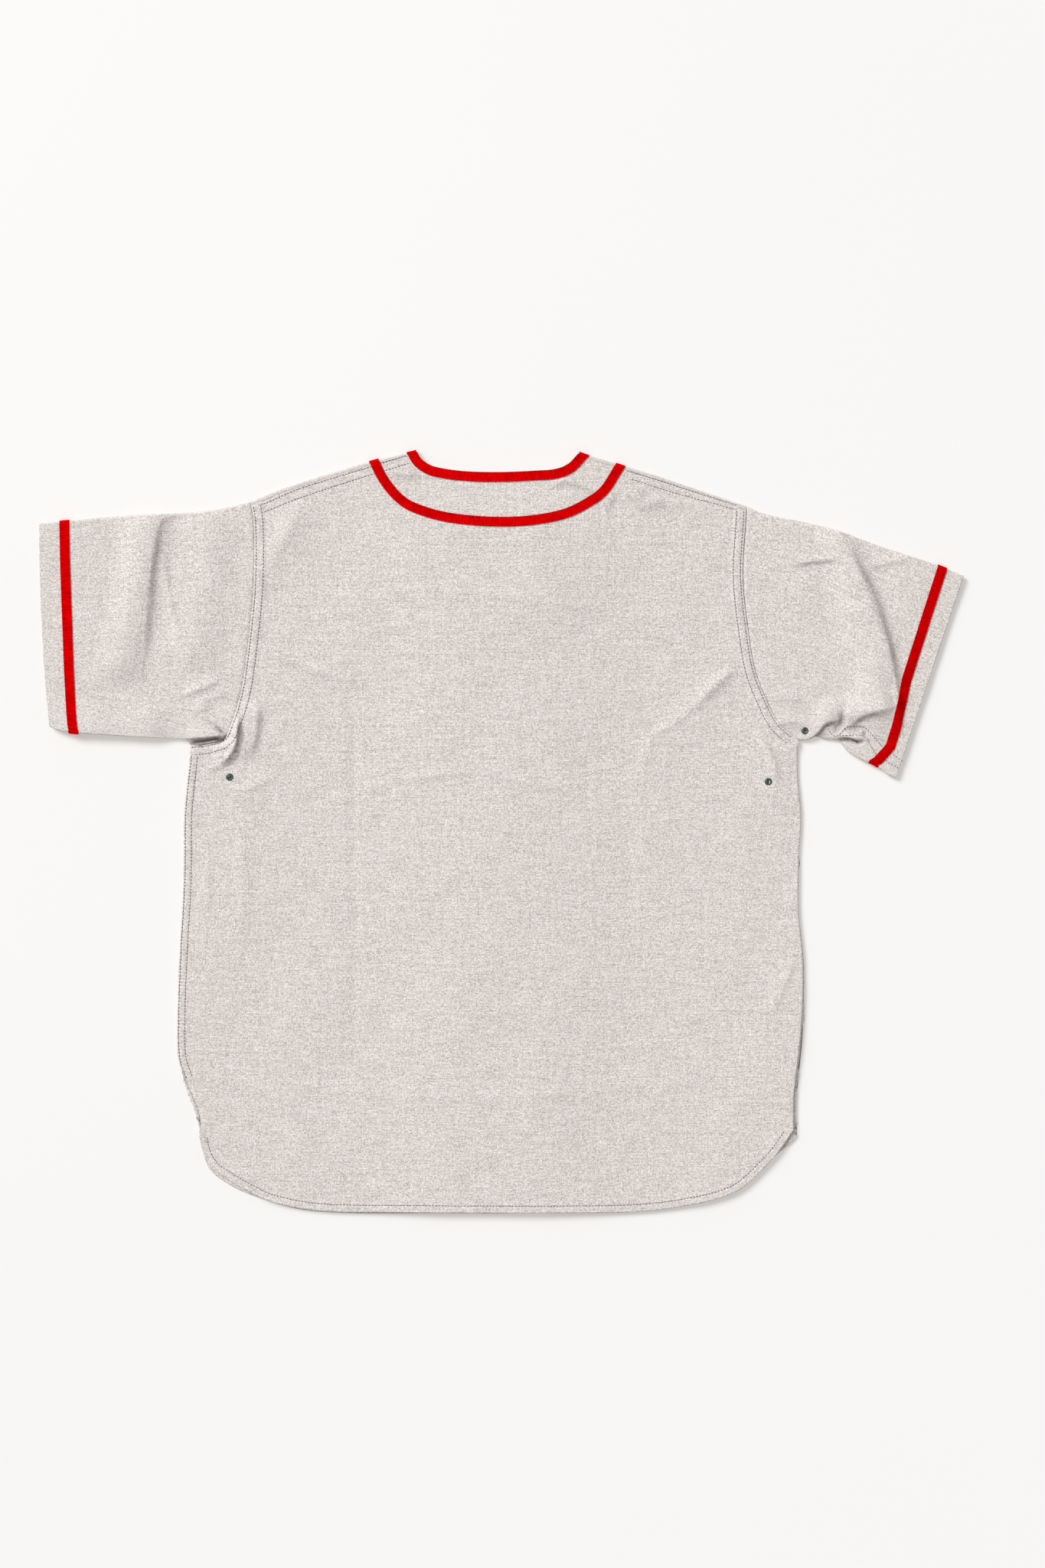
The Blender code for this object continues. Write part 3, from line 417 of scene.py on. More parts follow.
def waves(xy, seed, longest, height, count=12):
    """Low swells in all directions, from a fixed draw of numbers."""
    draw = np.random.default_rng(seed)
    total = np.zeros(xy.shape[:-1])
    for _ in range(count):
        angle, phase = draw.uniform(0, math.tau, 2)
        length = longest * draw.uniform(0.35, 1.0)
        along = xy[..., 0] * math.cos(angle) + xy[..., 1] * math.sin(angle)
        total += np.sin(math.tau * along / length + phase)
    return height * total / count ** 0.5


def upper_side(xy):
    """Height of the upper face of the upper layer."""
    x, y = xy[..., 0], xy[..., 1]
    crown = CROWN * (1 - ramp(np.abs(x - PLACKET_X), 30, 140)) * (1 - ramp(y, 290, 345))
    small = waves(xy, 3, 150.0, 0.35) + waves(xy, 8, 42.0, 0.07)
    return LAID_HEIGHT + trim_lift(xy) + sleeve_lift(xy) + crown + folds(xy) + creases(xy) + small


print("creases and folds:", len(CREASES) + len(FOLDS))

# %% The outside of the laid garment
def shell(xy, turn, lower=lower_side, lift=0.0, inward=None):
    """Points of the garment's outside: turn is 90 on the upper layer, -90 under it and between them
    round a folded edge. A lift moves them out of the cloth."""
    low, high = lower(xy), upper_side(xy)
    angle = np.radians(np.broadcast_to(turn, low.shape))
    z = (low + high) / 2 + ((high - low) / 2 + lift) * np.sin(angle)
    if inward is not None:
        xy = xy - inward * (lift * np.cos(angle))[..., None]
    return np.concatenate([xy, z[..., None]], -1)


def roll_in(turn):
    """How far in from a folded edge the cloth is when it has turned this much."""
    return ROLL * (1 - np.cos(np.radians(turn)))


print("the cloth rolls over an edge in", round(roll_in(90.0), 1), "mm")

# %% [markdown]
# ## Seams
# A seam on this jersey is turned to one side and held by two rows of stitches, so it is a band where
# three layers lie on each other. It could be a strip laid on the panel, but a real seam is the panel's
# own cloth, so the panel's points move: they step down at the seam, sink a little under each row and
# pucker between the stitches. A hem is the same with one row. At the shoulders every row has a low
# ridge of its own, because the rows don't run side by side there.

# %% The relief of a seam or hem
SEAM_ROWS = (2.2, 9.3)  # distances from the seam to its two rows of stitches
SIDE_ROWS = (2.0, 8.0)
HEM_ROWS = (7.0,)
SHOULDER_ROWS = [Line(points) for points in (
    [(-242.9, 315.5), (-229.8, 320.4), (-201.5, 332.6), (-162.8, 344.9), (-129.3, 355.0), (-94.2, 366.0)],
    [(-241.8, 307.5), (-201.5, 323.5), (-162.8, 336.7), (-125.5, 348.3), (-91.3, 358.5)],
    [(227.2, 317.8), (203.0, 325.5), (156.8, 340.1), (119.6, 351.3)],
    [(234.1, 311.4), (186.6, 324.4), (156.8, 332.6), (124.3, 343.1)])]
SEAM_RISE = 0.75  # how far the sewn band of a seam stands over the cloth beside it
SIDE_RISE = 0.4
HEM_RISE = 0.45
SHOULDER_RISE = 0.25
GROOVE = 0.5  # how far the cloth sinks at the seam and under a row of stitches
PUCKER = 0.11
PUCKER_PITCH = 7.5


def seam_relief(xy, line, rows, rise):
    """Height that a sewn band adds beside a line, out to just past its last row."""
    away, share, _ = nearest(xy, line.points[::3])
    last = rows[-1]
    band = rise * (1 - ramp(away, last + 0.4, last + 2.6))
    along = share * line.length
    wander = np.sin(along / 23.0) + np.sin(along / 9.1 + 1.3)
    pucker = PUCKER * np.sin(math.tau * along / PUCKER_PITCH + 1.8 * wander)
    band += pucker * (1 - ramp(away, last + 1, last + 9)) * ramp(away, 0, 2)
    for row in rows:
        band -= GROOVE * np.exp(-((away - row) / 0.8) ** 2)
    return band - GROOVE * np.exp(-(away / 1.1) ** 2) * (len(rows) > 1)


print("rows of stitches at the shoulders:", len(SHOULDER_ROWS))

# %% [markdown]
# ## Cloth
# A cut panel is one sheet. A plane could be cut to its outline with booleans, but its points would then
# lie anywhere. A grid from bmesh has its points in rows, so each is moved to its place by its row and
# column, and a Solidify modifier gives the sheet its thickness. Where an eyelet goes through, the faces
# under it are taken away.

# %% Grids of cloth
def spread(first, edge_step, step, total, last=None):
    """Distances across a panel: close together near both edges, wider in the middle."""
    near = list(first)
    while near[-1] < 14 and edge_step:
        near.append(near[-1] + edge_step)
    far = [total - d for d in reversed(last if last is not None else near)]
    count = max(int((far[0] - near[-1]) / step), 1)
    middle = np.linspace(near[-1], far[0], count + 1)[1:-1]
    return np.concatenate([near, middle, far])


EYELETS = [  # node, x, y
    ("eyelet_body_left", -266.3, 53.3),
    ("eyelet_body_right", 257.8, 48.8),
    ("eyelet_sleeve_right", 293.5, 98.5)]
EYELET_CUT = 1.6  # the cloth is open this far round an eyelet's middle


def open_eyelet(bm, x, y):
    """Takes the cloth of the upper layer away from the hole of an eyelet."""
    centre = (np.array([x, y]) - CENTRE) * MM
    inside = []
    for face in bm.faces:
        middle = face.calc_center_median()
        away = math.hypot(middle.x - centre[0], middle.y - centre[1])
        if middle.z > UPPER_FROM * MM and away < EYELET_CUT * MM:
            inside.append(face)
    bmesh.ops.delete(bm, geom=inside, context="FACES")
    return len(inside)


def finished(bm, name):
    mesh = bpy.data.meshes.new(name)
    bm.to_mesh(mesh)
    bm.free()
    return mesh


def cloth_mesh(name, points, flat, closed=False, eyelets=(), painted_shade_above=UPPER_FROM):
    """A mesh through rows of points in millimetres. flat holds where each point is on the uncut
    cloth, for the weave. Painted shade of the slits goes on points above the height painted_shade_above."""
    down, across = points.shape[0] - 1, points.shape[1] - 1
    bm = bmesh.new()
    bmesh.ops.create_grid(bm, x_segments=across, y_segments=down, size=0.5)
    uv = bm.loops.layers.uv.new("cloth")
    # The shade painted into the slits is stored on each point, and the flannel darkens its colour by it.
    painted_shade = bm.verts.layers.float.new("painted_shade")
    slit_shade = painted_shade_in_slits(points[..., :2]) * (points[..., 2] > painted_shade_above)
    world = points.copy()
    world[..., :2] -= CENTRE
    world *= MM
    places = {}
    for vertex in bm.verts:
        i = round((vertex.co.x + 0.5) * across)
        j = round((vertex.co.y + 0.5) * down)
        places[vertex] = (j, i)
        vertex.co = world[j, i]
        vertex[painted_shade] = slit_shade[j, i]
    for face in bm.faces:
        for loop in face.loops:
            loop[uv].uv = flat[places[loop.vert]]
    if closed:
        bmesh.ops.remove_doubles(bm, verts=bm.verts, dist=1e-7)
    for node, x, y in eyelets:
        print(name, "opened for", node, ":", open_eyelet(bm, x, y), "faces")
    return finished(bm, name)


# %% Pieces of the jersey
def add_piece(mesh, finish, upwards=True, above=-1.0):
    """Adds a mesh as a piece of the jersey whose faces above a height look up, or down."""
    if upwards is not None:
        total = sum(f.normal.z * f.area for f in mesh.polygons if f.center.z > above)
        if (total > 0) != upwards:
            mesh.flip_normals()
    mesh.shade_smooth()
    piece = bpy.data.objects.new(mesh.name, mesh)
    bpy.context.scene.collection.objects.link(piece)
    mesh.materials.append(finish)
    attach(piece, "root")
    return piece


def give_wall(piece, thickness, outwards=False):
    wall = piece.modifiers.new("wall", "SOLIDIFY")
    wall.thickness = thickness * MM
    wall.offset = 1.0 if outwards else -1.0
    return piece


def area_of(piece):
    return round(sum(f.area for f in piece.data.polygons), 4)


# %% [markdown]
# ## Materials
# A material is a small sum of patterns. It could be wired node by node, but written as Python
# arithmetic it reads like the sum that it is, so a small class lets a shader socket be added,
# subtracted and multiplied.

# %% Shader maths
class Value:
    """A number from a shader socket. Arithmetic on it adds Math nodes."""

    def __init__(self, board, socket):
        self.board, self.socket = board, socket

    def __add__(self, other):
        return self.board.maths("ADD", self, other)

    __radd__ = __add__

    def __sub__(self, other):
        return self.board.maths("SUBTRACT", self, other)

    def __rsub__(self, other):
        return self.board.maths("SUBTRACT", other, self)

    def __mul__(self, other):
        return self.board.maths("MULTIPLY", self, other)

    __rmul__ = __mul__


class Board:
    """The nodes of one material. add() makes any node."""

    def __init__(self, name, constants):
        self.material = bpy.data.materials.new(name)
        self.material.use_nodes = True
        self.tree = self.material.node_tree
        self.shader = self.tree.nodes["Principled BSDF"]
        for socket, value in constants.items():
            self.shader.inputs[socket].default_value = value

    def add(self, kind, inputs, output=0, **settings):
        node = self.tree.nodes.new(kind)
        for name, value in settings.items():
            setattr(node, name, value)
        for key, value in inputs.items():
            self.feed(node.inputs[key], value)
        return Value(self, node.outputs[output])

    def feed(self, socket, value):
        if isinstance(value, Value):
            self.tree.links.new(value.socket, socket)
        else:
            socket.default_value = value

    def maths(self, operation, a, b):
        return self.add("ShaderNodeMath", {0: a, 1: b}, operation=operation)

    def scaled(self, value, low, high):
        """0 below low and 1 above high, soft between them."""
        return self.add("ShaderNodeMapRange", {"Value": value, "From Min": low, "From Max": high},
                        interpolation_type="SMOOTHSTEP")

    def mix(self, share, a, b):
        return self.add("ShaderNodeMix", {0: share, 6: a, 7: b}, output=2, data_type="RGBA")

    def stretched(self, place, x, y, z=1.0):
        return self.add("ShaderNodeMapping", {"Vector": place, "Scale": (x, y, z)})

    def noise(self, place, scale, detail=2.0, rough=0.5):
        return self.add("ShaderNodeTexNoise", {"Vector": place, "Scale": scale, "Detail": detail,
                                               "Roughness": rough})

    def grain(self, scale, detail, rough):
        """Noise through the whole body of a piece."""
        place = self.add("ShaderNodeTexCoord", {}, output="Object")
        return self.noise(self.stretched(place, scale, scale, scale), 1.0, detail, rough)

    def finish(self, colour, roughness, normal=None):
        for name, value in (("Base Color", colour), ("Roughness", roughness), ("Normal", normal)):
            if value is not None:
                self.feed(self.shader.inputs[name], value)
        return self.material

    def bump(self, height, distance, strength=1.0):
        return self.add("ShaderNodeBump", {"Height": height, "Distance": distance, "Strength": strength})


def grey(r, g, b):
    return (r, g, b, 1.0)


# %% [markdown]
# ## Heathered flannel
# The yarn is spun from pale and dark wool together, so the cloth is a fine mix of warm light grey
# with darker fibres, thick and thin places in the yarn, and a soft brushed face. The threads are far
# too many to model, so stretched noises stand in for them: one for each direction of the yarn, one for
# each direction's thick places, and one for loose fibres. They lie on the flat cut, so the weave turns
# with each panel. The painted shade in the slits comes in last.

# %% Flannel
def flannel_material():
    board = Board("heathered_flannel", {
        "Sheen Weight": 0.08, "Sheen Roughness": 0.6, "Specular IOR Level": 0.1})
    place = board.add("ShaderNodeUVMap", {}, uv_map="cloth")
    weft = board.noise(board.stretched(place, 210, 560), 1.0, 3.0, 0.9)
    warp = board.noise(board.stretched(place, 560, 240), 1.0, 3.0, 0.9)
    fibres = board.noise(board.stretched(place, 640, 640), 1.0, 2.5, 0.9)
    slubs = board.noise(board.stretched(place, 35, 220), 1.0, 2.0, 0.6)
    ends = board.noise(board.stretched(place, 220, 45), 1.0, 2.0, 0.6)
    threads = (weft - 0.5) * 1.7 + (warp - 0.5) * 1.35 + (slubs - 0.5) * 0.5 + (ends - 0.5) * 0.4
    dark = board.scaled(0.5 + threads + (fibres - 0.5) * 3.2, -0.35, 1.35)
    colour = board.mix(dark, grey(0.965, 0.895, 0.85), grey(0.37, 0.335, 0.315))
    flecks = board.scaled(board.noise(board.stretched(place, 900, 1300), 1.0, 1.0), 0.72, 0.79)
    colour = board.mix(flecks * 0.6, colour, grey(0.13, 0.115, 0.11))
    # Painted shade: in the slits the colour is darkened towards near black.
    painted_shade = board.add("ShaderNodeAttribute", {}, output="Fac", attribute_name="painted_shade")
    colour = board.mix(painted_shade, colour, grey(0.035, 0.03, 0.028))
    threads = board.add("ShaderNodeTexWave", {"Vector": place, "Scale": 190.0, "Distortion": 1.5,
                                              "Detail": 1.0}, output=1, bands_direction="Y")
    nap = fibres * 0.7 + threads * 0.3
    return board.finish(colour, 0.9 + nap * 0.1, board.bump(nap, 0.00035, 0.8))


flannel = flannel_material()

# %% [markdown]
# ## Red braid, thread and hard pieces
# The braid is a narrow woven tape with ribs across it and hardly any shine. Round the right sleeve its
# red is painted darker for the shade that falls there. The sewing thread is darker than the cloth, and is
# painted darker still for the shade in its stitch holes. The eyelets are dark metal with green on their
# rims, and the buttons are grey plastic with soft swirls. A painted picture could show all this, but two
# tones mixed by a noise are enough at this size, and stay sharp from close by.

# %% Braid, thread, metal and plastic
def braid_material(name, light, dark):
    board = Board(name, {"Specular IOR Level": 0.0})
    place = board.add("ShaderNodeUVMap", {}, uv_map="cloth")
    fibres = board.noise(board.stretched(place, 110, 1000), 1.0, 2.0, 0.6)
    along = board.noise(board.stretched(place, 90, 90), 1.0, 2.0, 0.5)
    share = board.scaled(fibres * 0.8 + along * 0.2, 0.34, 0.7)
    colour = board.mix(share, light, dark)
    return board.finish(colour, 0.72 + fibres * 0.1, board.bump(fibres, 0.00015, 0.6))


def thread_material(name, light, dark):
    board = Board(name, {"Specular IOR Level": 0.3})
    twist = board.grain(900, 2.0, 0.5)
    colour = board.mix(board.scaled(twist, 0.3, 0.7), light, dark)
    return board.finish(colour, 0.65 + twist * 0.15, board.bump(twist, 0.0001, 0.5))


def metal_material():
    board = Board("tarnished_eyelet", {"Metallic": 1.0})
    spots = board.grain(700, 3.0, 0.6)
    colour = board.mix(board.scaled(spots, 0.42, 0.62), grey(0.17, 0.17, 0.15), grey(0.05, 0.16, 0.11))
    return board.finish(colour, 0.3 + spots * 0.35, board.bump(spots, 0.0001, 0.5))


def button_material():
    board = Board("grey_button", {})
    swirl = board.grain(130, 4.0, 0.6)
    colour = board.mix(board.scaled(swirl, 0.35, 0.65), grey(0.36, 0.345, 0.335), grey(0.24, 0.23, 0.225))
    return board.finish(colour, 0.3 + swirl * 0.12, board.bump(swirl, 0.0001, 0.3))


braid_red = braid_material("ribbed_braid", grey(0.76, 0.0, 0.001), grey(0.40, 0.0, 0.001))
# A darker copy of the same red, painted shade for the right sleeve's braid.
braid_red_shaded = braid_material("ribbed_braid_shaded", grey(0.68, 0.0, 0.001), grey(0.37, 0.0, 0.001))
# Partly the thread's own darker grey, partly painted shade of the stitch holes.
thread_grey_with_hole_shade = thread_material("grey_thread", grey(0.17, 0.155, 0.15), grey(0.085, 0.078, 0.075))
thread_red = thread_material("red_thread", grey(0.55, 0.001, 0.003), grey(0.33, 0.0, 0.002))
metal = metal_material()
plastic = button_material()
for finish in (flannel, braid_red, braid_red_shaded, thread_grey_with_hole_shade, thread_red, metal, plastic):
    print("finish:", finish.name)

# %% [markdown]
# ## Back
# The back is one panel from the shoulder seams to the shirt tail. Its sides run down the armholes,
# where it goes on flat into the sleeves, and then roll over into the side seams. Even cells would be
# either too coarse for the stitches or too many, so the rows and columns of its grid are close together
# at the seams, the hem and the underarms, and wider apart in the middle.

# %% Back
BACK_LENGTH = 722.0
SEAM_GAP = 0.06
UNDERARM_GAP = 3.0  # the back falls away from the left sleeve here, where the photograph is dark
SHOULDER_IN = 4.5  # the shoulder seam lies this far in from the folded edge
SHOULDER_SHARE = 6 / 21  # of the columns, those on one shoulder
NECK_SHARE = 0.24  # of the rows of a front, those beside its neck
ARMHOLE_SHARE = ARMHOLE_LEFT.length / (ARMHOLE_LEFT.length + SIDE_LEFT.length)
ROLL_SHARE = 0.012
SIDE_TURNS = np.array([11, 22, 34, 46, 58, 72, 90])


def left_gap(share):
    return SEAM_GAP / 2 + UNDERARM_GAP * ramp(share, 0.85, 0.90) * (1 - ramp(share, 0.93, 1.0))


def side_edge(left, gap=SEAM_GAP / 2):
    """The armhole and the side as one edge of a body panel."""
    armhole = ARMHOLE_LEFT.moved(gap) if left else ARMHOLE_RIGHT.moved(-SEAM_GAP / 2)
    side = SIDE_LEFT if left else SIDE_RIGHT
    return joined((armhole, ARMHOLE_SHARE), (side, 1 - ARMHOLE_SHARE))


def front_cut(left):
    neck = NECK_FRONT_LEFT if left else NECK_FRONT_RIGHT
    shoulder = SHOULDER_LEFT if left else SHOULDER_RIGHT
    hem = HEM_FRONT_LEFT if left else HEM_FRONT_RIGHT
    placket = Line([neck.points[-1], hem.points[-1]])
    return Cut(side_edge(left), joined((neck, NECK_SHARE), (placket, 1 - NECK_SHARE)), shoulder.at, hem.at)


def back_cut():
    seam_in = SHOULDER_IN + SEAM_GAP / 2
    trim = seam_in / NECK_BACK.length
    start = ARMHOLE_SHARE * seam_in / ARMHOLE_LEFT.length
    left, right = side_edge(True, left_gap), side_edge(False)
    cut_left, cut_right = front_cut(True), front_cut(False)

    def top(u):
        u = np.asarray(u, float)
        a = np.clip(u / SHOULDER_SHARE, 0, 1)
        b = np.clip((1 - u) / SHOULDER_SHARE, 0, 1)
        on_left = cut_left.at(a, seam_in / cut_left.height(a))
        on_right = cut_right.at(b, seam_in / cut_right.height(b))
        middle = (u - SHOULDER_SHARE) / (1 - 2 * SHOULDER_SHARE)
        neck = NECK_BACK.at(trim + (1 - 2 * trim) * np.clip(middle, 0, 1))
        out = np.where((u < SHOULDER_SHARE)[..., None], on_left, neck)
        return np.where((u > 1 - SHOULDER_SHARE)[..., None], on_right, out)

    def below(edge):
        return lambda v: edge(start + np.asarray(v) * (1 - start))

    return Cut(below(left), below(right), top, HEM_BACK.at), start


def back_points():
    cut, start = back_cut()
    # Distances in from a side, with places at the rows of stitches
    turns_in = np.concatenate([
        roll_in(SIDE_TURNS), [2.8, 3.6, 5.0, 6.6, 7.8, 8.6, 9.3, 10.0, 10.8, 12.0, 14.0],
        np.arange(16.0, 60.0, 2.1)])
    # Distances down from the top, close together beside the underarms too
    down = spread([0.0, 0.7, 1.4, 2.1, 3.2], 1.3, 3.9, BACK_LENGTH, last=[
        0.0, 1.2, 2.6, 4.2, 5.4, 6.2, 7.0, 7.8, 8.6, 10.0, 12.0, 15.0])
    down = np.concatenate([down[down < 224], np.arange(224.0, 340.0, 2.0), down[down > 341]])
    v = (down / BACK_LENGTH)[:, None]
    width = cut.width(v[:, 0])[:, None]
    middle = np.linspace(0, 1, 122)[1:-1]
    inner = turns_in[-1] / width
    u = np.concatenate([turns_in / width, inner + (1 - 2 * inner) * middle, 1 - turns_in[::-1] / width], 1)
    turn = np.full(u.shape, 90.0)
    count = len(SIDE_TURNS)
    turn[:, :count] = SIDE_TURNS
    turn[:, -count:] = SIDE_TURNS[::-1]
    rolling = ramp(start + v * (1 - start), ARMHOLE_SHARE, ARMHOLE_SHARE + ROLL_SHARE)
    turn = 90 - rolling * (90 - turn)
    xy = cut.at(u, np.broadcast_to(v, u.shape))
    points = shell(xy, turn)
    relief = seam_relief(xy, ARMHOLE_LEFT, SEAM_ROWS, SEAM_RISE)
    relief += seam_relief(xy, ARMHOLE_RIGHT, SEAM_ROWS, SEAM_RISE)
    for line in SHOULDER_ROWS:
        relief += seam_relief(xy, line, (0.0,), SHOULDER_RISE)
    relief += seam_relief(xy, SIDE_LEFT, SIDE_ROWS, SIDE_RISE)
    relief += seam_relief(xy, HEM_BACK, HEM_ROWS, HEM_RISE)
    points[..., 2] += relief * np.sin(np.radians(turn))
    return points, xy * MM


points, flat = back_points()
back = add_piece(cloth_mesh("back_cloth", points, flat, eyelets=EYELETS[:2]), flannel)
give_wall(back, CLOTH)
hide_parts("back_panel")
print("back:", points.shape, "area", area_of(back))

# %% [markdown]
# ## Fronts
# Each front starts at the seam just behind the shoulder, rolls over it and runs down underneath to
# the tail. The right front laps over the left one along the buttons. From above only their rolled
# shoulders show, and a plate under the back would do for that view, but whole fronts close the jersey
# from below and carry the back over the placket.

# %% Fronts
FRONT_LENGTH = 735.0
FOLD_TURNS = np.array([90, 75, 60, 45, 30, 15, 0, -15, -30, -45, -60, -75, -90])
TAIL_FROM = -20.0  # the rows crowd only below this place
CROWDED = 0.02  # a cell with less than this area in square millimetres, or turned over


def lift_crowded(points):
    """Where the rows crowd at the curved tail, the cloth rises by its own thickness, so that its wall
    stays off the floor."""
    down = points[1:, :-1, :2] - points[:-1, :-1, :2]
    across = points[:-1, 1:, :2] - points[:-1, :-1, :2]
    area = down[..., 0] * across[..., 1] - down[..., 1] * across[..., 0]
    crowded = (area * np.sign(np.median(area)) < CROWDED) & (points[:-1, :-1, 1] < TAIL_FROM)
    corner = np.pad(crowded, 1)
    corner = corner[1:, 1:] | corner[:-1, 1:] | corner[1:, :-1] | corner[:-1, :-1]
    raised = np.maximum(points[..., 2], CLOTH + 0.05)
    points[..., 2] = np.where(corner, raised, points[..., 2])
    print("crowded cells:", int(crowded.sum()))


def front_points(left, lower):
    cut = front_cut(left)
    near = np.concatenate([roll_in(SIDE_TURNS), [4.0, 6.0, 8.5, 11.0, 14.0, 18.0]])
    far = np.array([31.5, 26.0, 22.0, 18.0, 14.0, 10.0, 6.5, 4.0, 2.0, 0.0])
    down = spread([SHOULDER_IN, 8.0, 12.0], 0, 6.5, FRONT_LENGTH, last=[
        0.0, 1.5, 3.0, 4.5, 6.0, 7.5, 9.0, 11.0, 14.0])
    insets = np.concatenate([[SHOULDER_IN - SEAM_GAP / 2, 3.3], roll_in(FOLD_TURNS)])
    fold_turn = np.concatenate([[90, 90], FOLD_TURNS])
    v = np.concatenate([np.zeros(len(insets)), down / FRONT_LENGTH])[:, None]
    width = cut.width(v)
    middle = np.linspace(0, 1, 52)[1:-1]
    a, b = near[-1] / width, 1 - far[0] / width
    u = np.concatenate([near / width, a + (b - a) * middle, 1 - far / width], 1)
    v = np.broadcast_to(v, u.shape).copy()
    for k, inset in enumerate(insets):
        v[k] = inset / cut.height(u[k])
    turn = np.full(u.shape, -90.0)
    turn[:, :len(SIDE_TURNS)] = -SIDE_TURNS
    rolling = ramp(v, ARMHOLE_SHARE, ARMHOLE_SHARE + ROLL_SHARE)
    turn = -90 + rolling * (90 + turn)
    turn[:len(insets)] = fold_turn[:, None]
    xy = cut.at(u, v)
    # On the uncut cloth, what lies over the fold goes on upwards from it
    flat = xy * MM * np.array([-1, 1])
    past_fold = 2 * (SHOULDER_IN - np.minimum(insets, SHOULDER_IN)) * (fold_turn > 0)
    flat[:len(insets), :, 1] += past_fold[:, None] * MM
    points = shell(xy, turn, lower)
    lift_crowded(points)
    return points, flat


for side, left, lower in (("left", True, lower_side), ("right", False, lower_side_right)):
    points, flat = front_points(left, lower)
    # On the fronts the painted shade of the slits goes on both layers, so it also darkens the front seen
    # through the slit at the left underarm.
    mesh = cloth_mesh(f"front_{side}_cloth", points, flat, painted_shade_above=-1.0)
    piece = add_piece(mesh, flannel, upwards=False)
    give_wall(piece, CLOTH)
    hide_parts(f"front_{side}")
    print("front", side, points.shape, "area", area_of(piece))

# %% [markdown]
# ## Sleeves
# A sleeve is one piece folded round into a tube and pressed flat, with a fold along its top and one
# along its underarm. It is rumpled most where it was turned back at the underarm. A squashed cylinder
# would have its points in the wrong places, so a table gives the places round one ring, close together
# at the two folds, and the ring is set again and again along the sleeve.

# %% Sleeves
SLEEVE_EDGES = {  # side: armhole, how far to its left the sleeve starts, cuff, top, low
    "left": (ARMHOLE_LEFT, -SEAM_GAP / 2, SLEEVE_LEFT_CUFF, SLEEVE_LEFT_TOP, SLEEVE_LEFT_LOW),
    "right": (ARMHOLE_RIGHT, SEAM_GAP / 2, SLEEVE_RIGHT_CUFF, SLEEVE_RIGHT_TOP, SLEEVE_RIGHT_LOW)}
ARMHOLE_GROOVE = 0.7  # how far the sleeve sinks at the armhole seam


def sleeve_cut(side):
    armhole, start, cuff, top, low = SLEEVE_EDGES[side]
    return Cut(armhole.moved(start).at, cuff.at, top.at, low.at)


def tube_ring(upper, under):
    """One turn round a sleeve, with so many cells over and under it. Columns: end of the cut (0 top,
    1 low), share down, inset, turn."""
    half = [0, 15, 30, 45, 60, 75, 90]
    ring = [(0, 0.0, roll_in(t), t) for t in half]
    ring += [(0, k / upper, 0.0, 90) for k in range(2, upper - 1)]
    ring += [(1, 1.0, -roll_in(t), t) for t in half[::-1] + [-t for t in half[1:]]]
    ring += [(1, 1 - k / under, 0.0, -90) for k in range(1, under)]
    ring += [(0, 0.0, roll_in(t), -t) for t in half[::-1]]
    return np.array(ring, float)


def tube_points(cut, ring, stations, lift=0.0):
    """Points of a sleeve's outside, for each place on its ring and each share along it."""
    u = np.broadcast_to(stations, (len(ring), stations.shape[-1]))
    height = cut.height(u)
    v = ring[:, 1:2] + ring[:, 2:3] / height
    xy = cut.at(u, v)
    edge = cut.at(u, np.broadcast_to(ring[:, :1], u.shape))
    inward = cut.at(u, np.abs(np.broadcast_to(ring[:, :1], u.shape) - 0.02)) - edge
    inward /= np.linalg.norm(inward, axis=-1, keepdims=True)
    turn = np.broadcast_to(ring[:, 3:4], u.shape)
    return shell(xy, turn, lift=lift, inward=inward), u, turn


def around(points):
    """Distance round the tube of each place on its ring, in the middle of the sleeve."""
    line = points[:, points.shape[1] // 2]
    steps = np.linalg.norm(np.diff(line, axis=0), axis=1)
    return np.concatenate([[0], np.cumsum(steps)])


sleeves, cuts = {}, {}
for side in SLEEVE_EDGES:
    cut = cuts[side] = sleeve_cut(side)
    ring = tube_ring(144, 60)
    length = float(cut.width(0.5))
    along = spread([0.0, 0.9, 1.8, 2.8, 4.0], 1.6, 1.6, length, last=[0.0, 0.8, 1.8, 3.0, 4.5, 6.5])
    points, u, turn = tube_points(cut, ring, (along / length)[None, :])
    groove = nearest(points[..., :2], SLEEVE_EDGES[side][0].points[::3])[0]
    points[..., 2] -= ARMHOLE_GROOVE * np.exp(-(groove / 1.6) ** 2) * np.sin(np.radians(turn))
    flat = np.stack(np.broadcast_arrays(along, around(points)[:, None]), -1)
    mesh = cloth_mesh(f"sleeve_{side}_cloth", points, flat * MM, closed=True,
                      eyelets=EYELETS[2:] if side == "right" else ())
    piece = add_piece(mesh, flannel, above=0.75 * LAID_HEIGHT * MM)
    give_wall(piece, CLOTH)
    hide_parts(f"sleeve_{side}")
    sleeves[side] = piece
    print("sleeve", side, points.shape, "area", area_of(piece))

# %% [markdown]
# ## Braid
# The braid is ribbed across, so it is made as a strip with several points to each rib. Round a sleeve
# it follows the tube's own points, moved out of the cloth. Round the neck it runs over the back,
# rolls over each shoulder and goes on under the fronts to the buttons. A curve with a flat profile
# would twist where it rolls over, but a strip set by the same heights as the cloth stays on it.

# %% Braid round the sleeves
RIB = 1.3
RIB_STEPS = 4
BRAID_AT = 0.88  # the share along a sleeve where the length round it is measured
BRAID_SHARES = np.array([-1, -0.93, -0.6, 0.0, 0.6, 0.93, 1])
BRAID_IN = {
    "left": [(0.0, 24.8), (0.5, 25.4), (1.0, 24.4)],
    "right": [(0.0, 22.5), (0.55, 20.6), (0.78, 15.2), (0.87, 14.6), (1.0, 24.0)]}


def ribs(along):
    """Lift of a braid's face over the cloth, along its length."""
    return 0.14 + 0.11 * (1 + np.cos(math.tau * along / RIB))


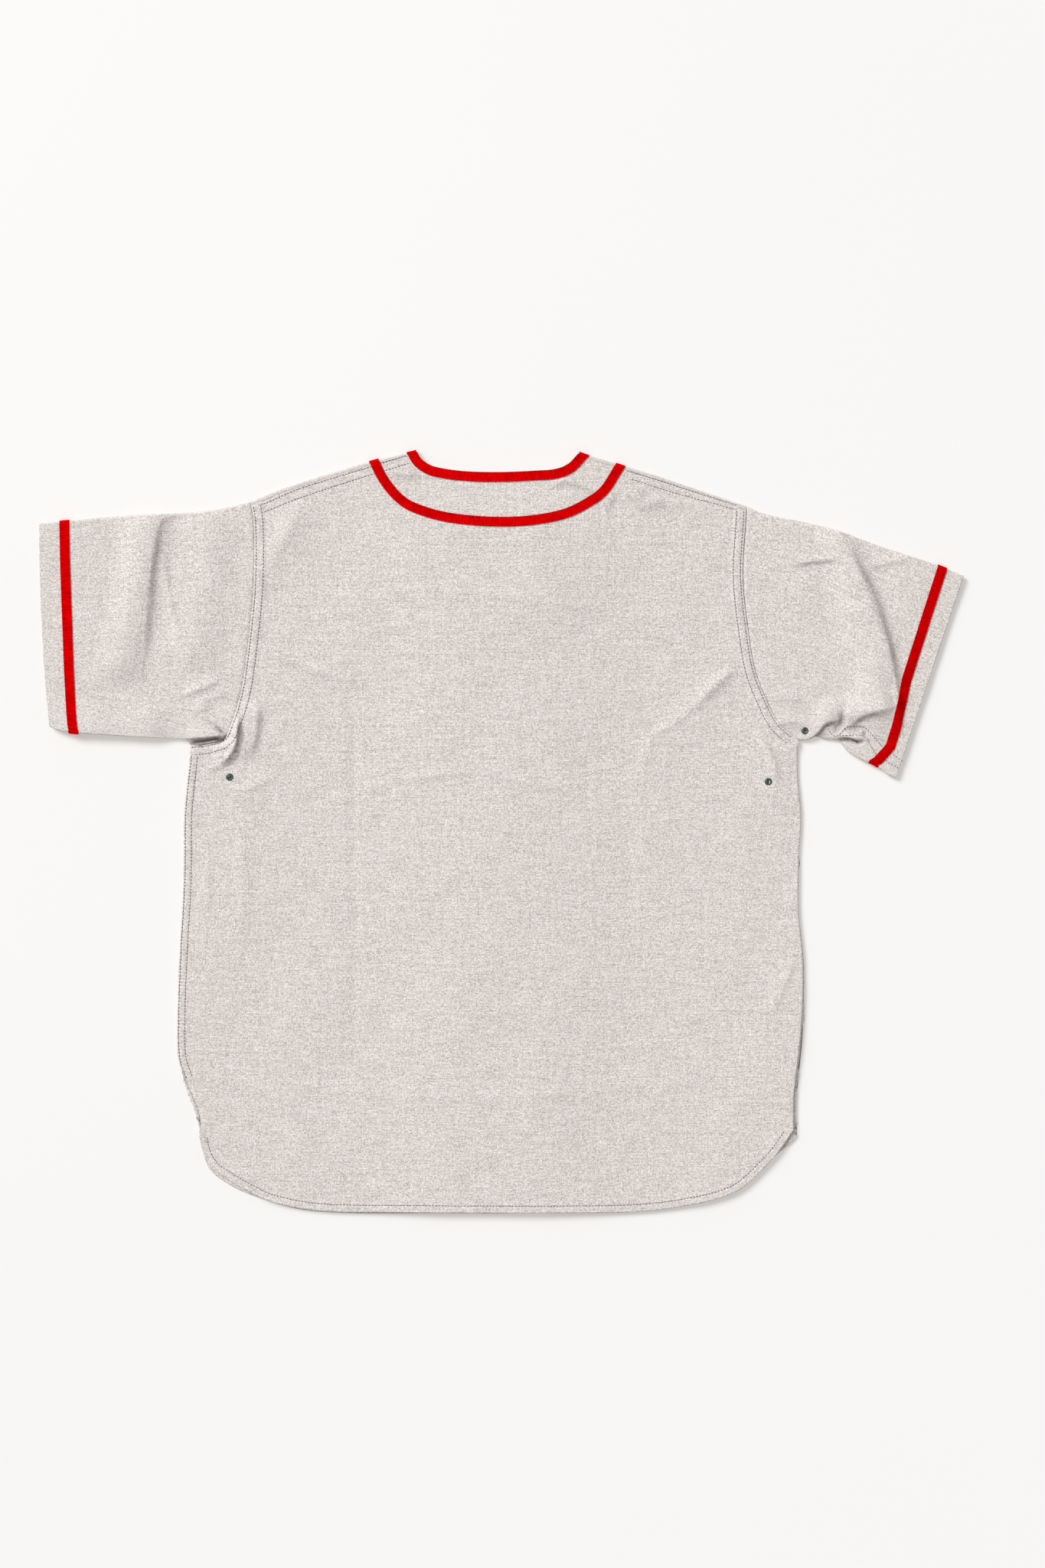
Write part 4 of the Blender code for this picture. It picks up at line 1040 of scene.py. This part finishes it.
def strip_piece(name, points, along, node, closed=False, finish=braid_red):
    across = BRAID_SHARES * BRAID_WIDTH / 2
    flat = np.stack(np.broadcast_arrays(across[None, :], along[:, None]), -1) * MM
    mesh = cloth_mesh(name, points, flat, closed=closed)
    piece = add_piece(mesh, finish, above=0.75 * LAID_HEIGHT * MM)
    give_wall(piece, BRAID_THICK, outwards=True)
    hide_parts(node)
    print(name, round(along[-1]), "mm long, area", area_of(piece))
    return piece


for side, cut in cuts.items():
    ring = tube_ring(64, 64)
    base = tube_points(cut, ring, np.array([[BRAID_AT]]))[0]
    place = around(base)
    count = round(place[-1] / RIB) * RIB_STEPS
    along = np.linspace(0, place[-1], count + 1)
    # The end of the cut belongs to each place as a whole number, the rest is read between places
    fine = np.stack([np.interp(along, place, ring[:, k]) for k in range(4)], -1)
    low_from, low_to = place[len(ring) // 4], place[3 * len(ring) // 4]
    fine[:, 0] = (along >= low_from) & (along < low_to)
    v = fine[:, 1]
    share, inset = np.array(BRAID_IN[side]).T
    width = cut.width(v)
    middle = 1 - np.interp(v, share, inset) / width
    stations = middle[:, None] + BRAID_SHARES * (BRAID_WIDTH / 2 / width)[:, None]
    lift = ribs(along)[:, None] * np.ones(len(BRAID_SHARES))
    points = tube_points(cut, fine, stations, lift=lift)[0]
    points[-1] = points[0]
    # The right sleeve's braid takes the darker copy of the red, which is painted shade.
    strip_piece(f"sleeve_{side}_braid", points, along, f"sleeve_braid_{side}", closed=True,
                finish=braid_red if side == "left" else braid_red_shaded)

# %% Braid round the neck
INNER_BACK = Line([
    (-89.3, 369.7), (-83.5, 360.0), (-72.5, 352.3), (-60.0, 348.9), (-37.6, 346.0), (-6.0, 345.1),
    (29.4, 346.5), (51.8, 348.4), (65.5, 353.9), (78.6, 367.4)])
INNER_FRONT_LEFT = Line([
    (-89.3, 369.7), (-88.8, 339.0), (-78.2, 304.5), (-52.6, 277.8), (-19.0, 266.2), (8.0, 265.2)])
INNER_FRONT_RIGHT = Line([
    (78.6, 367.4), (76.8, 339.0), (66.0, 303.5), (40.0, 275.6), (20.0, 267.0), (12.5, 265.2)])
OUTER_BACK = Line([
    (-126.0, 361.3), (-118.0, 345.0), (-106.9, 330.0), (-95.7, 320.0), (-84.6, 314.4), (-62.2, 307.3),
    (-39.9, 303.6), (-6.3, 301.4), (27.2, 302.8), (60.7, 309.6), (83.1, 320.7), (97.5, 331.5),
    (114.0, 356.8)])
OUTER_FRONT_LEFT = Line([
    (-126.0, 361.3), (-128.5, 332.0), (-114.0, 282.0), (-74.0, 242.0), (-30.0, 225.0), (8.0, 223.0)])
OUTER_FRONT_RIGHT = Line([
    (114.0, 356.8), (116.5, 332.0), (102.0, 282.0), (62.0, 242.0), (28.0, 228.0), (11.5, 224.5)])


def fold_direction(shoulder, place):
    """The direction of a shoulder fold at a place, towards the right."""
    share = nearest(np.array([place]), shoulder.points)[1][0]
    across = shoulder.left(share)
    along = np.array([across[1], -across[0]])
    return along * np.sign(along[0])


def neck_sections(line, folds_at_ends, trims):
    """Sections of a braid on one layer: middle, way to its left edge. Near a shoulder fold they turn
    to lie along it, and the layer starts or ends where the cloth lies flat again."""
    first, last = trims
    count = int((line.length - first - last) / RIB * RIB_STEPS)
    share = np.linspace(first, line.length - last, count + 1) / line.length
    middle = line.at(share)
    half = line.left(share) * BRAID_WIDTH / 2
    near = 2 * BRAID_WIDTH / line.length
    for fold, away in zip(folds_at_ends, (share, 1 - share)):
        if fold is not None:
            lean = half @ fold / (BRAID_WIDTH / 2)
            target = fold * (BRAID_WIDTH / 2 / lean)[:, None]
            blend = np.clip(1 - away / near, 0, 1)[:, None]
            half = half * (1 - blend) + target * blend
    return middle, half


def neck_braid(back_line, left_line, right_line):
    """All points of a neck braid, from the left placket edge, over the back, to the right one."""
    left_fold = fold_direction(SHOULDER_LEFT, back_line.points[0])
    right_fold = fold_direction(SHOULDER_RIGHT, back_line.points[-1])
    in_left = np.array([left_fold[1], -left_fold[0]])
    in_right = np.array([right_fold[1], -right_fold[0]])
    flipped = Line.through(left_line.points[::-1])
    parts = []

    def lay(middle, half, turn, lower=lower_side, inward=None):
        xy = middle[:, None, :] + BRAID_SHARES[None, ::-1, None] * half[:, None, :]
        parts.append((xy, np.broadcast_to(turn, xy.shape[:2]), lower, inward))

    def roll(end_middle, end_half, inward, turns):
        turns = np.array(turns, float)
        middle = end_middle + inward * roll_in(turns)[:, None]
        lay(middle, np.broadcast_to(end_half, middle.shape), turns[:, None], inward=inward)

    over_fold = [75, 60, 45, 30, 15, 0, -15, -30, -45, -60, -75]
    middle, half = neck_sections(flipped, (None, left_fold), (0, ROLL))
    lay(middle, -half, -90.0)
    top_middle, top_half = neck_sections(back_line, (left_fold, right_fold), (ROLL, ROLL))
    roll(back_line.at(0.0), top_half[0], in_left, over_fold[::-1])
    lay(top_middle, top_half, 90.0)
    roll(back_line.at(1.0), top_half[-1], in_right, over_fold)
    middle, half = neck_sections(right_line, (right_fold, None), (ROLL, 0))
    lay(middle, -half, -90.0, lower_side_right)
    flat_points = np.concatenate([shell(*part[:3]) for part in parts])
    steps = np.linalg.norm(np.diff(flat_points[:, len(BRAID_SHARES) // 2], axis=0), axis=1)
    along = np.concatenate([[0], np.cumsum(steps)])
    done, out = 0, []
    for xy, turn, lower, inward in parts:
        lift = ribs(along[done:done + len(xy)])[:, None] * np.ones(len(BRAID_SHARES))
        done += len(xy)
        out.append(shell(xy, turn, lower, lift, np.zeros(2) if inward is None else inward))
    return np.concatenate(out), along


for name, lines in (("neck_inner", (INNER_BACK, INNER_FRONT_LEFT, INNER_FRONT_RIGHT)),
                    ("neck_outer", (OUTER_BACK, OUTER_FRONT_LEFT, OUTER_FRONT_RIGHT))):
    points, along = neck_braid(*lines)
    strip_piece(f"{name}_braid", points, along, f"neck_braid_{name.split('_')[1]}")

# %% [markdown]
# ## Stitches
# Each stitch is a short thread that dips into the cloth at both ends. Geometry Nodes could scatter
# them along curves, but each row already has its line, so one small rounded body is made once and set
# along every row, and all stitches of a colour are one mesh.

# %% Stitches
STITCH_PITCH = 3.1
BRAID_PITCH = 2.6
# How far a row lies over the cloth as it was before the relief of its seam
ARMHOLE_LIFT = 0.65
SIDE_LIFT = 0.3
HEM_LIFT = 0.35
SINGLE_LIFT = 0.15
BRAID_LIFT = BRAID_THICK + 0.35


def stitch_shape():
    bm = bmesh.new()
    bmesh.ops.create_uvsphere(bm, u_segments=6, v_segments=4, radius=1.0)
    return finished(bm, "one_stitch")


def row_along(line, lift, turn=90.0, pitch=STITCH_PITCH):
    """Places and directions of the stitches along a line of the upper layer."""
    count = max(int(line.length / pitch), 1)
    share = (np.arange(count) + 0.5) / count
    step = 0.4 * pitch / line.length
    a = shell(line.at(share - step), turn)
    b = shell(line.at(share + step), turn)
    middle = (a + b) / 2
    middle[:, 2] += lift
    return middle, b - a


def stitch_piece(name, rows, finish, radius=0.34):
    shape = stitch_shape()
    corners = np.array([v.co[:] for v in shape.vertices])
    faces = [tuple(f.vertices) for f in shape.polygons]
    vertices, polygons = [], []
    for middles, runs in rows:
        for middle, run in zip(middles, runs):
            length = np.linalg.norm(run)
            along = run / length
            side = np.cross((0, 0, 1), along)
            side /= np.linalg.norm(side)
            up = np.cross(along, side)
            axes = np.stack([along * length * 0.52, side * radius, up * radius * 0.8])
            start = len(vertices) * len(corners)
            vertices.append(corners @ axes + middle)
            polygons += [tuple(start + k for k in face) for face in faces]
    world = np.concatenate(vertices)
    world[:, :2] -= CENTRE
    mesh = bpy.data.meshes.new(name)
    mesh.from_pydata((world * MM).tolist(), [], polygons)
    print(name, len(vertices), "stitches")
    return add_piece(mesh, finish, upwards=None)


# %% Rows of stitches
rows = []
for distance in SEAM_ROWS:
    rows.append(row_along(ARMHOLE_LEFT.moved(distance, 0.02, 1.0), ARMHOLE_LIFT))
    rows.append(row_along(ARMHOLE_RIGHT.moved(-distance, 0.02, 0.97), ARMHOLE_LIFT))
rows += [row_along(line, SINGLE_LIFT) for line in SHOULDER_ROWS]
for distance in SIDE_ROWS:
    turn = math.degrees(math.acos(1 - distance / ROLL)) if distance < ROLL else 90.0
    rows.append(row_along(SIDE_LEFT.moved(distance, 0.01, 0.86), SIDE_LIFT, turn))
rows.append(row_along(HEM_BACK.moved(HEM_ROWS[0], 0.01, 0.99), HEM_LIFT))
UNDERARM_ROWS = [  # on the rumpled underarm of the right sleeve
    [(314.8, 104.7), (317.7, 97.2), (321.5, 93.2), (325.9, 93.9), (331.9, 100.5), (335.6, 102.3),
     (350.5, 101.7), (355.7, 97.5), (362.4, 89.5), (368.4, 83.1)],
    [(378.1, 75.6), (389.3, 68.2)],
    [(325.9, 93.5), (351.3, 92.8), (358.0, 82.3), (364.7, 72.6)],
    [(371.4, 69.7), (384.8, 61.5)]]
rows += [row_along(Line(points), SINGLE_LIFT) for points in UNDERARM_ROWS]
stitch_piece("seam_stitches", rows, thread_grey_with_hole_shade)

braid_rows = []
for line in (INNER_BACK, OUTER_BACK):
    for side in (-1, 1):
        edge = line.moved(side * (BRAID_WIDTH / 2 - 1.0), 0.02, 0.98)
        braid_rows.append(row_along(edge, BRAID_LIFT, pitch=BRAID_PITCH))
stitch_piece("braid_stitches", braid_rows, thread_red, radius=0.2)

# %% [markdown]
# ## Eyelets and buttons
# An eyelet is a thin metal ring rolled over the edge of a hole, and a button is a turned disc with a
# raised rim. Either could start from a torus or a cylinder and be bevelled, but one outline spun round
# its axis gives the whole section at once. The buttons face the ground, so their thread holes don't
# show and aren't cut.

# %% Eyelets
EYELET_LIFT = 0.15
EYELET_OUTLINE = [  # radius, height over the cloth
    (1.6, -1.9), (1.6, 0.15), (1.75, 0.45), (2.1, 0.66), (2.6, 0.7), (3.1, 0.6), (3.5, 0.35),
    (3.65, 0.1), (3.3, 0.0), (2.1, 0.0), (2.1, -1.5), (3.3, -1.6), (3.3, -1.9)]


def spun(name, outline, centre, steps=28):
    bm = bmesh.new()
    ring = [bm.verts.new(Vector(centre) + Vector((r, 0, z)) * MM) for r, z in outline]
    edges = [bm.edges.new(pair) for pair in zip(ring, ring[1:] + ring[:1])]
    bmesh.ops.spin(bm, geom=ring + edges, cent=centre, axis=(0, 0, 1), angle=math.tau, steps=steps,
                   use_merge=True)
    bmesh.ops.remove_doubles(bm, verts=bm.verts, dist=1e-7)
    bmesh.ops.recalc_face_normals(bm, faces=bm.faces)
    return finished(bm, name)


for node, x, y in EYELETS:
    place = np.array([x, y], float)
    z = float(upper_side(place[None])[0]) + EYELET_LIFT
    centre = (*((place - CENTRE) * MM), z * MM)
    piece = add_piece(spun(node + "_ring", EYELET_OUTLINE, centre), metal, upwards=None)
    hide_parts(node)
    print(node, "lies", round(z, 1), "mm high")

# %% Buttons
BUTTON_OUTLINE = [  # radius, height over the floor
    (0.0, 0.5), (5.2, 0.45), (6.2, 0.3), (7.2, 0.05), (8.2, 0.0), (8.8, 0.35), (9.0, 0.9),
    (8.8, 1.7), (8.2, 2.05), (6.0, 2.2), (0.0, 2.2)]
BUTTON_TOP = 246.0
BUTTON_STEP = 102.0
BUTTON_COUNT = 6
for number in range(BUTTON_COUNT):
    y = BUTTON_TOP - BUTTON_STEP * number
    centre = ((PLACKET_X - CENTRE[0]) * MM, (y - CENTRE[1]) * MM, 0.0)
    piece = add_piece(spun(f"button_{number + 1}_disc", BUTTON_OUTLINE, centre, 40), plastic,
                      upwards=None)
    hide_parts(f"button_{number + 1}")

# %% [markdown]
# ## Floor, light and camera
# The photograph was taken from straight above on a white ground, with broad soft light from the
# upper left. A ring of area lamps would be as soft, but a sun with a wide angle gives every crease its
# shadow on the same side, and one area lamp beside it makes the light fall off a little. The floor gives
# off some light of its own, so that shadows on it are as pale as in the photograph while the cloth keeps
# its own. The camera looks straight down and takes in the same frame.

# %% Floor
FLOOR_REACH = 4.0
FLOOR_DROP = 0.0003


def floor_material():
    board = Board("pale_floor", {
        "Specular IOR Level": 0.1, "Emission Color": grey(0.285, 0.268, 0.255),
        "Emission Strength": 1.0})
    place = board.add("ShaderNodeTexCoord", {}, output="Object")
    tone = board.noise(place, 1.6, 3.0)
    colour = board.mix(tone, grey(0.63, 0.63, 0.628), grey(0.615, 0.615, 0.613))
    return board.finish(colour, 0.8 + tone * 0.1)


bm = bmesh.new()
bmesh.ops.create_grid(bm, x_segments=1, y_segments=1, size=FLOOR_REACH)
bmesh.ops.translate(bm, verts=bm.verts, vec=(0, 0, -FLOOR_DROP))
floor_mesh = finished(bm, "floor")
floor = bpy.data.objects.new("floor", floor_mesh)
floor_mesh.materials.append(floor_material())
bpy.context.scene.collection.objects.link(floor)

# %% Light
def add_light(name, kind, place, energy, **settings):
    """A lamp at a place in metres that looks at the middle of the jersey."""
    light = bpy.data.lights.new(name, kind)
    light.energy = energy
    for setting, value in settings.items():
        setattr(light, setting, value)
    lamp = bpy.data.objects.new(name, light)
    lamp.location = place
    lamp.rotation_euler = (-lamp.location).to_track_quat("-Z", "Y").to_euler()
    bpy.context.scene.collection.objects.link(lamp)


world = bpy.data.worlds.new("studio")
bpy.context.scene.world = world
world.use_nodes = True
background = world.node_tree.nodes["Background"]
background.inputs["Color"].default_value = grey(1.0, 1.0, 1.0)
background.inputs["Strength"].default_value = 0.5
add_light("key", "SUN", (-1.5, 1.3, 1.6), 2.65, angle=math.radians(26))
add_light("near", "AREA", (-1.2, 1.3, 1.4), 3.5, size=1.2)
print("lights:", len(bpy.data.lights))

# %% Camera
VIEW_HEIGHT = 1.5258  # metres from the frame's lower edge to its upper one
VIEW_MIDDLE = (0.0205, 0.0464)
CAMERA_DISTANCE = 2.4
CLOTH_TOP = 0.004  # the view's height is measured at the top of the cloth
camera = bpy.data.cameras.new("camera")
camera.sensor_fit = "VERTICAL"
camera.sensor_height = 24.0
camera.lens = CAMERA_DISTANCE * camera.sensor_height / VIEW_HEIGHT
camera_object = bpy.data.objects.new("camera", camera)
camera_object.location = (*VIEW_MIDDLE, CAMERA_DISTANCE + CLOTH_TOP)
bpy.context.scene.collection.objects.link(camera_object)
bpy.context.scene.camera = camera_object
bpy.context.scene.view_settings.view_transform = "Standard"
print("lens:", round(camera.lens, 2), "mm")
